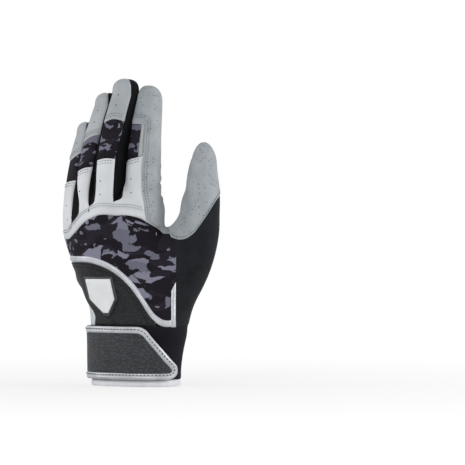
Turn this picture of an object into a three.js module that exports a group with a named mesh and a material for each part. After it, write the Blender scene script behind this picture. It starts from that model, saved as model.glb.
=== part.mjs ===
// A left-hand batting glove that stands on its hem with the fingers up.
// Millimetres. +Z runs along the fingers, the back of the hand faces -Y and the thumb points to +X.
// The glove is a set of thin panels. Every panel is a patch of one smooth hand form,
// so neighbours share their seams and keep a small gap there.
import * as THREE from "three";

// Driving dimensions
const gloveLength = 240;
const handBreadth = 100;
const seamGap = 0.3;
const jointGap = 1;
const fingerSeamGap = 0.5;
const crotchGap = 1;
const sideGap = 0.9;
const layerGap = 0.3;
const leather = 1.1;
const stretchFabric = 0.9;
const sideFabric = 0.8;
const crackleLeather = 1.5;
const neoprene = 2.2;
const cuffTop = 48;
const hemHeight = 5.4;
const hemThickness = 3.2;
const hemLift = 0.6;
const trimWidth = 4;
const trimThickness = 1.4;
const trimLift = 0.4;
const trimGap = 0.6;
const tabThickness = 1.4;
const tabBottom = 7.6;
const tabTop = 47;
const tabShoulder = 8;
const tabToe = 5;
const tabBindingWidth = 4.2;
const tabBindingThickness = 2;
const fastenerThickness = 0.8;
const fastenerMargin = 5;
const badgeHeight = 30;
const badgeWidth = 22;
const badgeThickness = 1.6;
const badgeTilt = 14;
const elasticHeight = 6;
const elasticThickness = 0.8;
const elasticRise = 4;
const fingerClearance = 0.6;
const meshStep = 3;
const fingerStep = 7;

// The seams are drawn as they are seen from this turn towards the thumb.
const viewTurn = THREE.MathUtils.degToRad(30);
const viewCentreShares = [0.04, -0.069];
// The finger slots lean by this angle from upright, all alike, so each finger bends in its own lane.
const laneLean = THREE.MathUtils.degToRad(5);
const laneShares = [-0.144, -0.352, -0.538];
const laneRound = 2;
// How widely the surfaces of the palm, thumb and fingers melt into each other
const thumbBlend = 20;
const fingerBlend = 6;

const tall = (share) => share * gloveLength;
const wide = (share) => share * handBreadth;
const clamp = (value, low, high) => Math.min(high, Math.max(low, value));
const mix = (a, b, share) => a + (b - a) * share;
const radians = THREE.MathUtils.degToRad;
const half = (length) => length / 2;
const fullTurn = 360;

// Across and depth, as seen from the view turn, in the part's own X and Y
function fromView(across, depth) {
  const cos = Math.cos(viewTurn);
  const sin = Math.sin(viewTurn);
  const x = across * cos - depth * sin + wide(viewCentreShares[0]);
  const y = across * sin + depth * cos + wide(viewCentreShares[1]);
  return [x, y];
}

function acrossOf(point) {
  const x = point.x - wide(viewCentreShares[0]);
  const y = point.y - wide(viewCentreShares[1]);
  return x * Math.cos(viewTurn) + y * Math.sin(viewTurn);
}

// Straight lines through rows of [place, value]
function throughRows(rows) {
  return (place) => {
    let k = 0;
    while (k < rows.length - 2 && place > rows[k + 1][0]) k += 1;
    const share = clamp((place - rows[k][0]) / (rows[k + 1][0] - rows[k][0]), 0, 1);
    return mix(rows[k][1], rows[k + 1][1], share);
  };
}

// A smooth curve through stations of [height, value, value...]
function throughStations(stations) {
  const count = stations.length;
  const values = stations.map((row) => row.slice(1));
  const spans = stations.slice(1).map((row, k) => row[0] - stations[k][0]);
  const rates = spans.map((span, k) => values[k].map((v, c) => (values[k + 1][c] - v) / span));
  const slopes = values.map((row, k) => {
    if (k === 0) return rates[0];
    if (k === count - 1) return rates[count - 2];
    const both = spans[k - 1] + spans[k];
    return row.map((_, c) => (rates[k - 1][c] * spans[k] + rates[k][c] * spans[k - 1]) / both);
  });
  return (height) => {
    const z = clamp(height, stations[0][0], stations[count - 1][0]);
    let k = 0;
    while (k < count - 2 && z > stations[k + 1][0]) k += 1;
    const s = (z - stations[k][0]) / spans[k];
    const start = 2 * s ** 3 - 3 * s ** 2 + 1;
    const leave = (s ** 3 - 2 * s ** 2 + s) * spans[k];
    const arrive = (s ** 3 - s ** 2) * spans[k];
    return values[k].map((v, c) => {
      const there = values[k + 1][c] * (1 - start);
      return v * start + slopes[k][c] * leave + there + slopes[k + 1][c] * arrive;
    });
  };
}

// Wrist and palm. Shares of [length; breadth for centre x, centre y, half width, half depth, arch]
const trunkShares = [
  [-0.042, 0.057, -0.059, 0.36, 0.25, 0],
  [0.03, 0.057, -0.059, 0.36, 0.25, 0],
  [0.042, 0.057, -0.059, 0.36, 0.25, 0],
  [0.125, 0.064, -0.054, 0.372, 0.255, 0],
  [0.2, 0.068, -0.052, 0.386, 0.253, 0],
  [0.258, 0.025, -0.07, 0.395, 0.235, 0.01],
  [0.308, -0.04, -0.1, 0.388, 0.215, 0.04],
  [0.367, -0.115, -0.125, 0.395, 0.2, 0.08],
  [0.429, -0.165, -0.145, 0.41, 0.18, 0.12],
  [0.508, -0.195, -0.165, 0.423, 0.155, 0.18],
  [0.588, -0.195, -0.18, 0.42, 0.135, 0.23],
  [0.667, -0.195, -0.18, 0.41, 0.125, 0.25],
];
const trunkRound = 2.4;
const trunkTopShare = 0.567;
const trunkDropShare = 0.092;
const trunkDropReachShare = 0.56;
const trunkDropPower = 1.6;
const trunkCapShare = 0.083;

// Limbs. Shares of [length; breadth for across and depth in the view, half width, half depth]
const limbShares = {
  index: {
    turn: 22,
    top: 0.978,
    cap: 0.052,
    stations: [
      [0.396, 0.02, 0.08, 0.12, 0.12],
      [0.583, 0.066, -0.02, 0.134, 0.122],
      [0.688, 0.074, -0.025, 0.132, 0.12],
      [0.792, 0.082, 0, 0.126, 0.112],
      [0.883, 0.098, 0.05, 0.116, 0.103],
      [0.933, 0.11, 0.08, 0.108, 0.098],
    ],
  },
  middle: {
    turn: 8,
    top: 1,
    cap: 0.05,
    stations: [
      [0.396, -0.14, 0.09, 0.11, 0.12],
      [0.592, -0.185, -0.03, 0.116, 0.125],
      [0.688, -0.183, -0.03, 0.116, 0.122],
      [0.779, -0.166, -0.025, 0.112, 0.114],
      [0.883, -0.115, 0, 0.108, 0.104],
      [0.954, -0.062, 0.035, 0.103, 0.098],
    ],
  },
  ring: {
    turn: -15,
    top: 0.954,
    cap: 0.048,
    stations: [
      [0.396, -0.26, 0.16, 0.105, 0.12],
      [0.583, -0.368, 0.12, 0.108, 0.117],
      [0.638, -0.36, 0.125, 0.107, 0.115],
      [0.758, -0.31, 0.14, 0.105, 0.109],
      [0.858, -0.245, 0.175, 0.102, 0.101],
      [0.913, -0.205, 0.205, 0.098, 0.094],
    ],
  },
  little: {
    turn: -30,
    top: 0.858,
    cap: 0.046,
    stations: [
      [0.375, -0.33, 0.28, 0.095, 0.11],
      [0.521, -0.446, 0.28, 0.096, 0.108],
      [0.604, -0.446, 0.29, 0.094, 0.104],
      [0.692, -0.424, 0.305, 0.093, 0.099],
      [0.775, -0.386, 0.33, 0.09, 0.093],
      [0.817, -0.36, 0.35, 0.087, 0.088],
    ],
  },
  thumb: {
    turn: 18,
    top: 0.793,
    cap: 0.063,
    stations: [
      [0.188, 0.2, 0.03, 0.14, 0.18],
      [0.258, 0.26, 0.02, 0.175, 0.18],
      [0.321, 0.335, 0.01, 0.195, 0.18],
      [0.383, 0.4, 0, 0.195, 0.175],
      [0.442, 0.457, -0.01, 0.182, 0.16],
      [0.5, 0.512, -0.02, 0.152, 0.14],
      [0.563, 0.543, -0.02, 0.126, 0.128],
      [0.625, 0.542, -0.02, 0.128, 0.12],
      [0.667, 0.538, -0.02, 0.122, 0.112],
      [0.708, 0.54, -0.02, 0.108, 0.102],
      [0.742, 0.548, -0.02, 0.092, 0.09],
    ],
  },
};
const limbRound = { index: 2.7, middle: 2.7, ring: 2.7, little: 2.7, thumb: 2.2 };
const capRound = 2.2;
const limbRootShare = 0.063;
const fingerNames = ["index", "middle", "ring", "little"];

// The line where the fingers leave the hand: on the back, over across; on the palm, over X
const backCutShares = [
  [-0.6, 0.45],
  [-0.524, 0.484],
  [-0.438, 0.53],
  [-0.337, 0.567],
  [-0.235, 0.584],
  [-0.117, 0.592],
  [0.063, 0.578],
  [0.2, 0.558],
  [0.4, 0.542],
];
const palmCutShares = [
  [-0.6, 0.492],
  [-0.45, 0.533],
  [-0.3, 0.588],
  [-0.12, 0.621],
  [0.08, 0.625],
  [0.3, 0.608],
];
const cutArchShares = { x: -0.195, y: -0.18, halfWidth: 0.42, arch: 0.21, depth: 0.24 };

// Seams of the back, shares of [across, length]. Leather, suede and print meet in one point.
const suedeSeamShares = [0.094, 0.541];
const bandEdgeShares = [
  [-0.511, 0.48],
  [-0.45, 0.509],
  [-0.407, 0.53],
  [-0.287, 0.56],
  [-0.137, 0.561],
  [-0.016, 0.559],
  suedeSeamShares,
  [0.113, 0.534],
];
const suedeEdgeShares = [
  suedeSeamShares,
  [0.222, 0.509],
  [0.321, 0.484],
  [0.373, 0.482],
  [0.462, 0.501],
  [0.552, 0.55],
  [0.658, 0.619],
  [0.8, 0.66],
];
const trimLineShares = [
  [-0.5, 0.414],
  [-0.325, 0.412],
  [-0.24, 0.401],
  [-0.155, 0.383],
  [-0.07, 0.355],
  [0.015, 0.316],
  [0.082, 0.274],
  [0.141, 0.238],
  [0.219, 0.213],
  [0.33, 0.21],
];
// The seam at the little finger's side, shares of [length, across]
const outerSeamShares = [
  [0.19, -0.313],
  [0.27, -0.313],
  [0.325, -0.39],
  [0.358, -0.43],
  [0.413, -0.485],
  [0.484, -0.505],
];
// The seam between palm and thumb, shares of [length, across]. It bends in at the crotch.
const thumbSeamShares = [
  [0.45, 0.33],
  [0.517, 0.262],
];
// Edges round the thumb and the index finger, in degrees
const thumbPanelEdge = 118;
const thumbInnerEdge = -130;
const indexPalmEdge = 128;
const shortTrimTopShare = 0.342;

const lengthRows = (rows) => rows.map(([place, value]) => [wide(place), tall(value)]);
const backCut = throughRows(lengthRows(backCutShares));
const palmCut = throughRows(lengthRows(palmCutShares));
const bandEdge = throughRows(lengthRows(bandEdgeShares));
const suedeEdge = throughRows(lengthRows(suedeEdgeShares));
const trimLine = throughRows(lengthRows(trimLineShares));
const acrossRows = (rows) => rows.map(([height, across]) => [tall(height), wide(across)]);
const outerSeam = throughRows(acrossRows(outerSeamShares));
const thumbSeam = throughRows(acrossRows(thumbSeamShares));

// The height of the cut between hand and fingers over a place in plan
function fingerCut(point) {
  const side = (point.x - wide(cutArchShares.x)) / wide(cutArchShares.halfWidth);
  const middle = wide(cutArchShares.y) + wide(cutArchShares.arch) * side * side;
  const share = clamp((point.y - middle) / wide(cutArchShares.depth) + 1 / 2, 0, 1);
  return mix(backCut(acrossOf(point)), palmCut(point.x), share);
}

// Limbs in millimetres
function makeLimb(name) {
  const shares = limbShares[name];
  const stations = shares.stations.map(([height, across, depth, width, thick]) => {
    const [x, y] = fromView(wide(across), wide(depth));
    return [tall(height), x, y, wide(width), wide(thick)];
  });
  return {
    at: throughStations(stations),
    root: stations[0][0],
    turn: radians(shares.turn),
    top: tall(shares.top),
    cap: tall(shares.cap),
    round: limbRound[name],
  };
}
const limbs = Object.fromEntries(Object.keys(limbShares).map((name) => [name, makeLimb(name)]));
const trunkAt = throughStations(
  trunkShares.map(([height, ...rest]) => [tall(height), ...rest.map(wide)]),
);

function softMin(a, b, reach) {
  const share = clamp(1 / 2 + (b - a) / (2 * reach), 0, 1);
  return mix(b, a, share) - reach * share * (1 - share);
}
const softMax = (a, b, reach) => -softMin(-a, -b, reach);

// Signed closeness to the surface of the wrist and palm, and of one limb: below zero is inside
function trunkField(p) {
  const [x, y, width, depth, arch] = trunkAt(p.z);
  const side = (p.x - x) / width;
  const thick = (p.y - y - arch * side * side) / depth;
  const flat = (Math.abs(side) ** trunkRound + Math.abs(thick) ** trunkRound) ** (1 / trunkRound);
  const drop = clamp(-p.x / wide(trunkDropReachShare), 0, 1) ** trunkDropPower;
  const start = tall(trunkTopShare) - tall(trunkDropShare) * drop;
  const over = Math.max(0, (p.z - start) / tall(trunkCapShare));
  return (Math.hypot(flat, over) - 1) * depth;
}

function limbField(limb, p) {
  const [x, y, width, depth] = limb.at(p.z);
  const cos = Math.cos(limb.turn);
  const sin = Math.sin(limb.turn);
  const side = ((p.x - x) * cos + (p.y - y) * sin) / width;
  const thick = ((p.y - y) * cos - (p.x - x) * sin) / depth;
  const round = limb.round;
  const flat = (Math.abs(side) ** round + Math.abs(thick) ** round) ** (1 / round);
  const over = Math.max(0, (p.z - limb.top + limb.cap) / limb.cap);
  const under = Math.max(0, (limb.root - p.z) / tall(limbRootShare));
  const all = flat ** capRound + over ** capRound + under ** capRound;
  return (all ** (1 / capRound) - 1) * depth;
}

const laneOf = (p) => p.x * Math.cos(laneLean) - p.z * Math.sin(laneLean);
const handField = (p) => softMin(trunkField(p), limbField(limbs.thumb, p), thumbBlend);

// The whole hand below the fingers' cut, where the fingers only swell its surface
function palmField(p) {
  const hand = handField(p);
  return Math.min(...fingerNames.map((name) => softMin(hand, limbField(limbs[name], p), fingerBlend)));
}

// One finger inside its lane
function fingerField(name) {
  const order = fingerNames.indexOf(name);
  return (p) => {
    let field = softMin(handField(p), limbField(limbs[name], p), fingerBlend);
    const lane = laneOf(p);
    const room = half(fingerClearance);
    if (order < laneShares.length) {
      field = softMax(field, wide(laneShares[order]) + room - lane, laneRound);
    }
    if (order > 0) field = softMax(field, lane - wide(laneShares[order - 1]) + room, laneRound);
    return field;
  };
}

// A chart gives the surface point at an angle round a limb and a height up it.
// Angle 0 looks out of the back of the hand and a quarter turn looks to the thumb's side.
const spineShare = 0.6;
const searchStep = 1.5;
const searchTurns = 18;
const probe = 0.2;

function surfaceNormal(field, p) {
  const slope = (dx, dy, dz) => {
    const ahead = field({ x: p.x + dx, y: p.y + dy, z: p.z + dz });
    return ahead - field({ x: p.x - dx, y: p.y - dy, z: p.z - dz });
  };
  return new THREE.Vector3(slope(probe, 0, 0), slope(0, probe, 0), slope(0, 0, probe)).normalize();
}

function walkOut(field, origin, way) {
  const at = (distance) => origin.clone().addScaledVector(way, distance);
  let far = searchStep;
  while (field(at(far)) < 0 && far < handBreadth) far += searchStep;
  let near = far - searchStep;
  for (let k = 0; k < searchTurns; k += 1) {
    const middle = half(near + far);
    if (field(at(middle)) < 0) near = middle;
    else far = middle;
  }
  return at(half(near + far));
}

function makeChart(field, rayOf, walkField = field) {
  const surface = (angle, height) => {
    const [origin, way] = rayOf(angle, height);
    return walkOut(walkField, origin, way);
  };
  const place = (angle, height, depth) => {
    const point = surface(angle, height);
    return point.addScaledVector(surfaceNormal(field, point), -depth);
  };
  return { surface, place, rayOf };
}

// The palm's chart and the thumb's meet in the thumb seam, so each stops a little past it.
const seamOverrun = 3;
const pastSeam = (p) => acrossOf(p) - thumbSeam(p.z);
const palmWalk = (p) => Math.max(palmField(p), pastSeam(p) - seamOverrun);
const thumbWalk = (p) => Math.max(handField(p), -pastSeam(p) - seamOverrun);
const trunkRay = (angle, height) => {
  const [x, y, width, depth, arch] = trunkAt(height);
  const side = spineShare * Math.sin(angle);
  const origin = new THREE.Vector3(x + width * side, y + arch * side * side, height);
  const along = new THREE.Vector3(width, 2 * arch * side, 0).normalize();
  const out = new THREE.Vector3(along.y, -along.x, 0);
  const way = along.multiplyScalar(width * (1 - spineShare) * Math.sin(angle));
  return [origin, way.addScaledVector(out, depth * Math.cos(angle)).normalize()];
};
const trunkChart = makeChart(palmField, trunkRay, palmWalk);
// The cuff is one ring, so its chart runs on past the seam.
const cuffChart = makeChart(palmField, trunkRay);

// Over a limb's round end the height turns into a lift of the ray, up to the tip.
function limbRay(limb) {
  return (angle, height) => {
    const end = limb.top - limb.cap;
    const lift = clamp((height - end) / limb.cap, 0, 1) * radians(90);
    const [x, y, width, depth] = limb.at(Math.min(height, end));
    const side = width * Math.sin(angle) * Math.cos(lift);
    const back = -depth * Math.cos(angle) * Math.cos(lift);
    const cos = Math.cos(limb.turn);
    const sin = Math.sin(limb.turn);
    const out = [side * cos - back * sin, side * sin + back * cos, limb.cap * Math.sin(lift)];
    return [new THREE.Vector3(x, y, Math.min(height, end)), new THREE.Vector3(...out).normalize()];
  };
}
// Low down, the thumb's rays start past the seam too.
const thumbRay = (angle, height) => {
  const [origin, way] = limbRay(limbs.thumb)(angle, height);
  const short = Math.max(0, seamOverrun - pastSeam(origin));
  origin.x += short * Math.cos(viewTurn);
  origin.y += short * Math.sin(viewTurn);
  return [origin, way];
};
const thumbChart = makeChart(handField, thumbRay, thumbWalk);
const fingerCharts = Object.fromEntries(
  fingerNames.map((name) => [name, makeChart(fingerField(name), limbRay(limbs[name]))]),
);

// Searches on a chart
function angleWhere(chart, height, test, low, high) {
  let near = low;
  let far = high;
  for (let k = 0; k < searchTurns; k += 1) {
    const middle = half(near + far);
    if (test(chart.surface(middle, height)) < 0) near = middle;
    else far = middle;
  }
  return half(near + far);
}

// The height at which a line drawn over the surface is met, going up the chart at one angle
function heightWhere(chart, angle, heightOf) {
  let low = 0;
  let high = gloveLength;
  for (let k = 0; k < searchTurns; k += 1) {
    const middle = half(low + high);
    if (middle < heightOf(chart.surface(angle, middle))) low = middle;
    else high = middle;
  }
  return half(low + high);
}

// The top of the notch that the plane of the thumb seam cuts out of a chart
const notchTopShare = 0.62;
const crotchShare = 0.51;
const notchStep = 2;
function notchTop(chart, angle, beyond) {
  let high = tall(notchTopShare);
  while (high > cuffTop && !beyond(chart.surface(angle, high - notchStep))) high -= notchStep;
  let low = high - notchStep;
  for (let k = 0; k < searchTurns; k += 1) {
    const middle = half(low + high);
    if (beyond(chart.surface(angle, middle))) low = middle;
    else high = middle;
  }
  return half(low + high);
}

// A value worked out once at even places and read between them
const tableSteps = 120;
function tabulate(from, to, value) {
  const rows = [];
  for (let k = 0; k <= tableSteps; k += 1) {
    const place = mix(from, to, k / tableSteps);
    rows.push([place, value(place)]);
  }
  return throughRows(rows);
}

// Borders: a height that follows the angle, and an angle that follows the height
const overAngles = (low, high, value) => tabulate(radians(low), radians(high), value);
const sideAt = (start, low, high, value) => ({ start: radians(start), at: tabulate(low, high, value) });

const settleTurns = 30;
const probeTurn = radians(0.5);

// A patch between left and right angles and bottom and top heights.
// Its borders draw back from the seams by half of each gap.
function makePatch(chart, { left, right, bottom, top, gaps = {} }) {
  const { side = seamGap, low = seamGap, high = seamGap } = gaps;
  const start = half(left.start + right.start);
  const first = half(bottom(start) + top(start));
  // Millimetres over the surface for each radian round the chart, just inside a side border
  const speedAt = (angle, height, inward) => {
    const near = chart.surface(angle, height);
    return near.distanceTo(chart.surface(angle + inward, height)) / Math.abs(inward);
  };
  return (a, b) => {
    let angle = mix(left.at(first), right.at(first), a);
    let height = first;
    for (let k = 0; k < settleTurns; k += 1) {
      height = half(height + mix(bottom(angle), top(angle), b));
      angle = mix(left.at(height), right.at(height), a);
    }
    const reach = speedAt(angle, height, a < 1 / 2 ? probeTurn : -probeTurn);
    const turn = meshStep / reach;
    const slope = (value) => (value(angle + turn) - value(angle - turn)) / (2 * meshStep);
    const sideSlope = (value) => {
      const change = value(height + meshStep) - value(height - meshStep);
      return (change * reach) / (2 * meshStep);
    };
    const sideRate = Math.hypot(1, mix(sideSlope(left.at), sideSlope(right.at), a));
    const inset = (half(side) * sideRate * (1 - 2 * a)) / reach;
    const lowRise = half(low) * Math.hypot(1, slope(bottom)) * (1 - b);
    const highDrop = half(high) * Math.hypot(1, slope(top)) * b;
    const rise = lowRise - highDrop;
    return [angle + inset, height + rise];
  };
}

const fixed = (degrees) => ({ start: radians(degrees), at: () => radians(degrees) });

// A closed thin solid from a patch: outer sheet, inner sheet and the walls between them
function thinSolid(chart, patch, columns, rows, lift, thickness, closed = false) {
  const positions = [];
  const index = [];
  const across = closed ? columns : columns + 1;
  for (const depth of [-lift, thickness - lift]) {
    for (let j = 0; j <= rows; j += 1) {
      for (let i = 0; i < across; i += 1) {
        const [angle, height] = patch(i / columns, j / rows);
        const point = chart.place(angle, height, depth);
        positions.push(point.x, point.y, point.z);
      }
    }
  }
  const layer = across * (rows + 1);
  const at = (sheet, i, j) => sheet * layer + j * across + (i % across);
  const quad = (a, b, c, d) => index.push(a, b, c, a, c, d);
  for (let j = 0; j < rows; j += 1) {
    for (let i = 0; i < columns; i += 1) {
      quad(at(0, i, j), at(0, i + 1, j), at(0, i + 1, j + 1), at(0, i, j + 1));
      quad(at(1, i, j), at(1, i, j + 1), at(1, i + 1, j + 1), at(1, i + 1, j));
    }
  }
  for (let i = 0; i < columns; i += 1) {
    quad(at(0, i, 0), at(1, i, 0), at(1, i + 1, 0), at(0, i + 1, 0));
    quad(at(0, i, rows), at(0, i + 1, rows), at(1, i + 1, rows), at(1, i, rows));
  }
  if (!closed) {
    for (let j = 0; j < rows; j += 1) {
      quad(at(0, 0, j), at(0, 0, j + 1), at(1, 0, j + 1), at(1, 0, j));
      quad(at(0, columns, j), at(1, columns, j), at(1, columns, j + 1), at(0, columns, j + 1));
    }
  }
  const geometry = new THREE.BufferGeometry();
  geometry.setAttribute("position", new THREE.Float32BufferAttribute(positions, 3));
  geometry.setIndex(index);
  geometry.computeVertexNormals();
  return geometry;
}

const glove = new THREE.Group();

// Colours and finishes
const finishes = {
  palmLeather: { color: 0xc6cacc, roughness: 0.6, metalness: 0 },
  whiteLeather: { color: 0xd5d9db, roughness: 0.5, metalness: 0 },
  suede: { color: 0xb4babe, roughness: 0.9, metalness: 0 },
  tipLeather: { color: 0xa8aeb2, roughness: 0.7, metalness: 0 },
  printedFabric: { color: 0x3a3742, roughness: 0.8, metalness: 0 },
  sideFabric: { color: 0x101113, roughness: 0.9, metalness: 0 },
  crackle: { color: 0x35383b, roughness: 0.55, metalness: 0 },
  panelFabric: { color: 0x2b2e31, roughness: 0.85, metalness: 0 },
  cuffFabric: { color: 0x14141c, roughness: 0.8, metalness: 0 },
  silver: { color: 0xbfc2c7, roughness: 0.35, metalness: 0.3 },
  fastener: { color: 0x18191b, roughness: 1, metalness: 0 },
  rubber: { color: 0xdfe2e4, roughness: 0.45, metalness: 0 },
};

function addPanel(name, finish, geometry) {
  const mesh = new THREE.Mesh(geometry, new THREE.MeshStandardMaterial(finishes[finish]));
  mesh.name = name;
  glove.add(mesh);
}

function panel(name, finish, chart, borders, cells, thickness, lift = 0, closed = false) {
  const patch = makePatch(chart, borders);
  addPanel(name, finish, thinSolid(chart, patch, cells[0], cells[1], lift, thickness, closed));
}

// Borders of the hand's panels on the wrist and palm chart
const trunkAcross = (value, low, high) => (height) =>
  angleWhere(trunkChart, height, (p) => acrossOf(p) - value(height), radians(low), radians(high));
const handTop = tall(notchTopShare);
const cutHeight = (chart) => (angle) => heightWhere(chart, angle, fingerCut);
const seamHeight = (chart, line) => (angle) => heightWhere(chart, angle, (p) => line(acrossOf(p)));
const pastThumbSeam = (p) => pastSeam(p) > 0;
const beforeThumbSeam = (p) => pastSeam(p) < 0;
const cuffSeam = () => cuffTop + half(seamGap);
const outerBorder = sideAt(-95, cuffTop, handTop, trunkAcross(outerSeam, -150, 40));
const palmOuterBorder = {
  start: outerBorder.start + radians(fullTurn),
  at: (height) => outerBorder.at(height) + radians(fullTurn),
};
const crotchAngle = 106;
const thumbCrotchAngle = -92;
const thumbSide = sideAt(60, cuffTop, handTop, trunkAcross(thumbSeam, -40, crotchAngle));
const suedeBorder = sideAt(25, cuffTop, handTop, trunkAcross(() => wide(suedeSeamShares[0]), -40, 95));
const trunkCut = overAngles(-180, fullTurn, cutHeight(trunkChart));
const bandLine = overAngles(-180, 180, seamHeight(trunkChart, bandEdge));
const suedeLine = overAngles(-180, 180, seamHeight(trunkChart, suedeEdge));

// Back of the hand
panel("knuckle_band", "whiteLeather", trunkChart, {
  left: outerBorder,
  right: suedeBorder,
  bottom: bandLine,
  top: trunkCut,
  gaps: { high: jointGap },
}, [30, 2], leather);

const trunkNotch = overAngles(45, 180, (angle) => notchTop(trunkChart, angle, pastThumbSeam));
const sideSuedeBottom = overAngles(-20, 180, (angle) => {
  if (angle < radians(45)) return suedeLine(angle);
  return angle > radians(crotchAngle) ? trunkNotch(angle) : Math.max(suedeLine(angle), trunkNotch(angle));
});
panel("index_side_suede", "suede", trunkChart, {
  left: suedeBorder,
  right: fixed(indexPalmEdge),
  bottom: sideSuedeBottom,
  top: trunkCut,
  gaps: { low: trimGap, high: jointGap },
}, [24, 5], leather);

const upperBack = overAngles(-180, 180, (angle) => {
  const point = trunkChart.surface(angle, tall(suedeSeamShares[1]));
  return acrossOf(point) < wide(suedeSeamShares[0]) ? bandLine(angle) : suedeLine(angle);
});
const trimSlope = (across) => (trimLine(across + trimWidth) - trimLine(across - trimWidth)) / (2 * trimWidth);
const trimSide = (sign) => (across) => {
  const rise = half(trimWidth) * Math.hypot(1, trimSlope(across));
  return Math.max(cuffTop + half(seamGap), trimLine(across) + sign * rise);
};
const trimUpper = overAngles(-180, 120, seamHeight(trunkChart, trimSide(1)));
const trimLower = overAngles(-180, 120, seamHeight(trunkChart, trimSide(-1)));
const shortTrimTop = tall(shortTrimTopShare);
const shortTrimWidth = (height) => trimWidth * clamp((shortTrimTop - height) / (2 * trimWidth), 0, 1);
const shortTrimSide = (height) => thumbSeam(height) - shortTrimWidth(height);
const backRight = sideAt(60, cuffTop, handTop, trunkAcross(shortTrimSide, -40, crotchAngle));
panel("back_panel", "printedFabric", trunkChart, {
  left: outerBorder,
  right: backRight,
  bottom: trimUpper,
  top: upperBack,
  gaps: { side: sideGap, low: trimGap, high: trimGap },
}, [24, 12], stretchFabric);
panel("long_trim", "silver", trunkChart, {
  left: outerBorder,
  right: backRight,
  bottom: trimLower,
  top: trimUpper,
  gaps: { low: trimGap, high: trimGap },
}, [28, 1], trimThickness, trimLift);
panel("short_trim", "silver", trunkChart, {
  left: backRight,
  right: thumbSide,
  bottom: cuffSeam,
  top: () => shortTrimTop - trimWidth,
}, [1, 8], trimThickness, trimLift);
const wristPanelEdgeShare = 0.175;
const wristPanelRight = sideAt(30, cuffTop, handTop, trunkAcross(() => wide(wristPanelEdgeShare), -80, 95));
panel("wrist_panel", "crackle", trunkChart, {
  left: outerBorder,
  right: wristPanelRight,
  bottom: cuffSeam,
  top: trimLower,
  gaps: { side: sideGap, high: trimGap },
}, [18, 7], crackleLeather);

// A moulded badge on the wrist panel, in the plain shape of a home plate
const badgeCentreShares = [-0.235, 0.295];
const badgeShoulderShare = 0.45;
const badgeTipShare = 0.16;
function badgeSide(sign) {
  return (height) => {
    const share = clamp((height - tall(badgeCentreShares[1])) / badgeHeight + 1 / 2, 0, 1);
    const spread = share > badgeShoulderShare ? 1 : mix(badgeTipShare, 1, share / badgeShoulderShare);
    const lean = Math.tan(radians(badgeTilt)) * (height - tall(badgeCentreShares[1]));
    return wide(badgeCentreShares[0]) - lean + sign * half(badgeWidth) * spread;
  };
}
panel("badge", "rubber", trunkChart, {
  left: sideAt(-60, cuffTop, handTop, trunkAcross(badgeSide(-1), -120, 40)),
  right: sideAt(-20, cuffTop, handTop, trunkAcross(badgeSide(1), -120, 60)),
  bottom: () => tall(badgeCentreShares[1]) - half(badgeHeight),
  top: () => tall(badgeCentreShares[1]) + half(badgeHeight),
}, [4, 10], badgeThickness, badgeThickness + layerGap);

// Palm side of the hand
const farOfThumbSeam = (height) =>
  angleWhere(trunkChart, height, (p) => -pastSeam(p), radians(crotchAngle), radians(200));
const palmRight = sideAt(indexPalmEdge, cuffTop, handTop, (height) =>
  Math.max(radians(indexPalmEdge), height > tall(crotchShare) ? 0 : farOfThumbSeam(height)));
panel("palm_leather", "palmLeather", trunkChart, {
  left: palmRight,
  right: palmOuterBorder,
  bottom: cuffSeam,
  top: trunkCut,
  gaps: { side: sideGap, high: jointGap },
}, [26, 18], leather);

// Base of the thumb
const thumbAcross = (low, high) => (height) =>
  angleWhere(thumbChart, height, pastSeam, radians(low), radians(high));
const thumbBackBorder = sideAt(-40, cuffTop, handTop, thumbAcross(thumbCrotchAngle, 100));
const thumbSuedeLine = overAngles(-180, 180, seamHeight(thumbChart, suedeEdge));
panel("thumb_side_panel", "panelFabric", thumbChart, {
  left: thumbBackBorder,
  right: fixed(thumbPanelEdge),
  bottom: cuffSeam,
  top: thumbSuedeLine,
  gaps: { side: sideGap, high: trimGap },
}, [12, 12], stretchFabric);
const thumbJointShare = 0.65;
const thumbJointHeight = tall(thumbJointShare);
const thumbSuedeBottom = overAngles(-180, 180, (angle) => {
  if (angle > radians(-20)) return thumbSuedeLine(angle);
  const notch = notchTop(thumbChart, angle, beforeThumbSeam);
  return angle < radians(thumbCrotchAngle) ? notch : Math.max(notch, thumbSuedeLine(angle));
});
panel("thumb_suede", "suede", thumbChart, {
  left: fixed(thumbInnerEdge),
  right: fixed(thumbPanelEdge),
  bottom: thumbSuedeBottom,
  top: () => thumbJointHeight,
  gaps: { low: crotchGap, high: jointGap },
}, [28, 7], leather);
const thumbFar = sideAt(200, cuffTop, handTop, (height) => {
  if (height > tall(crotchShare)) return radians(fullTurn + thumbInnerEdge);
  const low = radians(thumbPanelEdge);
  const seam = angleWhere(thumbChart, height, (p) => -pastSeam(p), low, radians(fullTurn + thumbCrotchAngle));
  return Math.min(radians(fullTurn + thumbInnerEdge), seam);
});
panel("thumb_palm_leather", "palmLeather", thumbChart, {
  left: fixed(thumbPanelEdge),
  right: thumbFar,
  bottom: cuffSeam,
  top: () => thumbJointHeight,
  gaps: { high: jointGap },
}, [7, 16], leather);

// Tips end just short of the pole of their round end.
const poleShare = 0.92;
const tipEnd = (limb) => limb.top - limb.cap * (1 - poleShare);
panel("thumb_tip_suede", "suede", thumbChart, {
  left: fixed(thumbInnerEdge),
  right: fixed(thumbPanelEdge),
  bottom: () => thumbJointHeight,
  top: () => tipEnd(limbs.thumb),
  gaps: { low: jointGap },
}, [12, 7], leather);
panel("thumb_tip_leather", "palmLeather", thumbChart, {
  left: fixed(thumbPanelEdge),
  right: fixed(fullTurn + thumbInnerEdge),
  bottom: () => thumbJointHeight,
  top: () => tipEnd(limbs.thumb),
  gaps: { low: jointGap },
}, [6, 7], leather);

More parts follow.
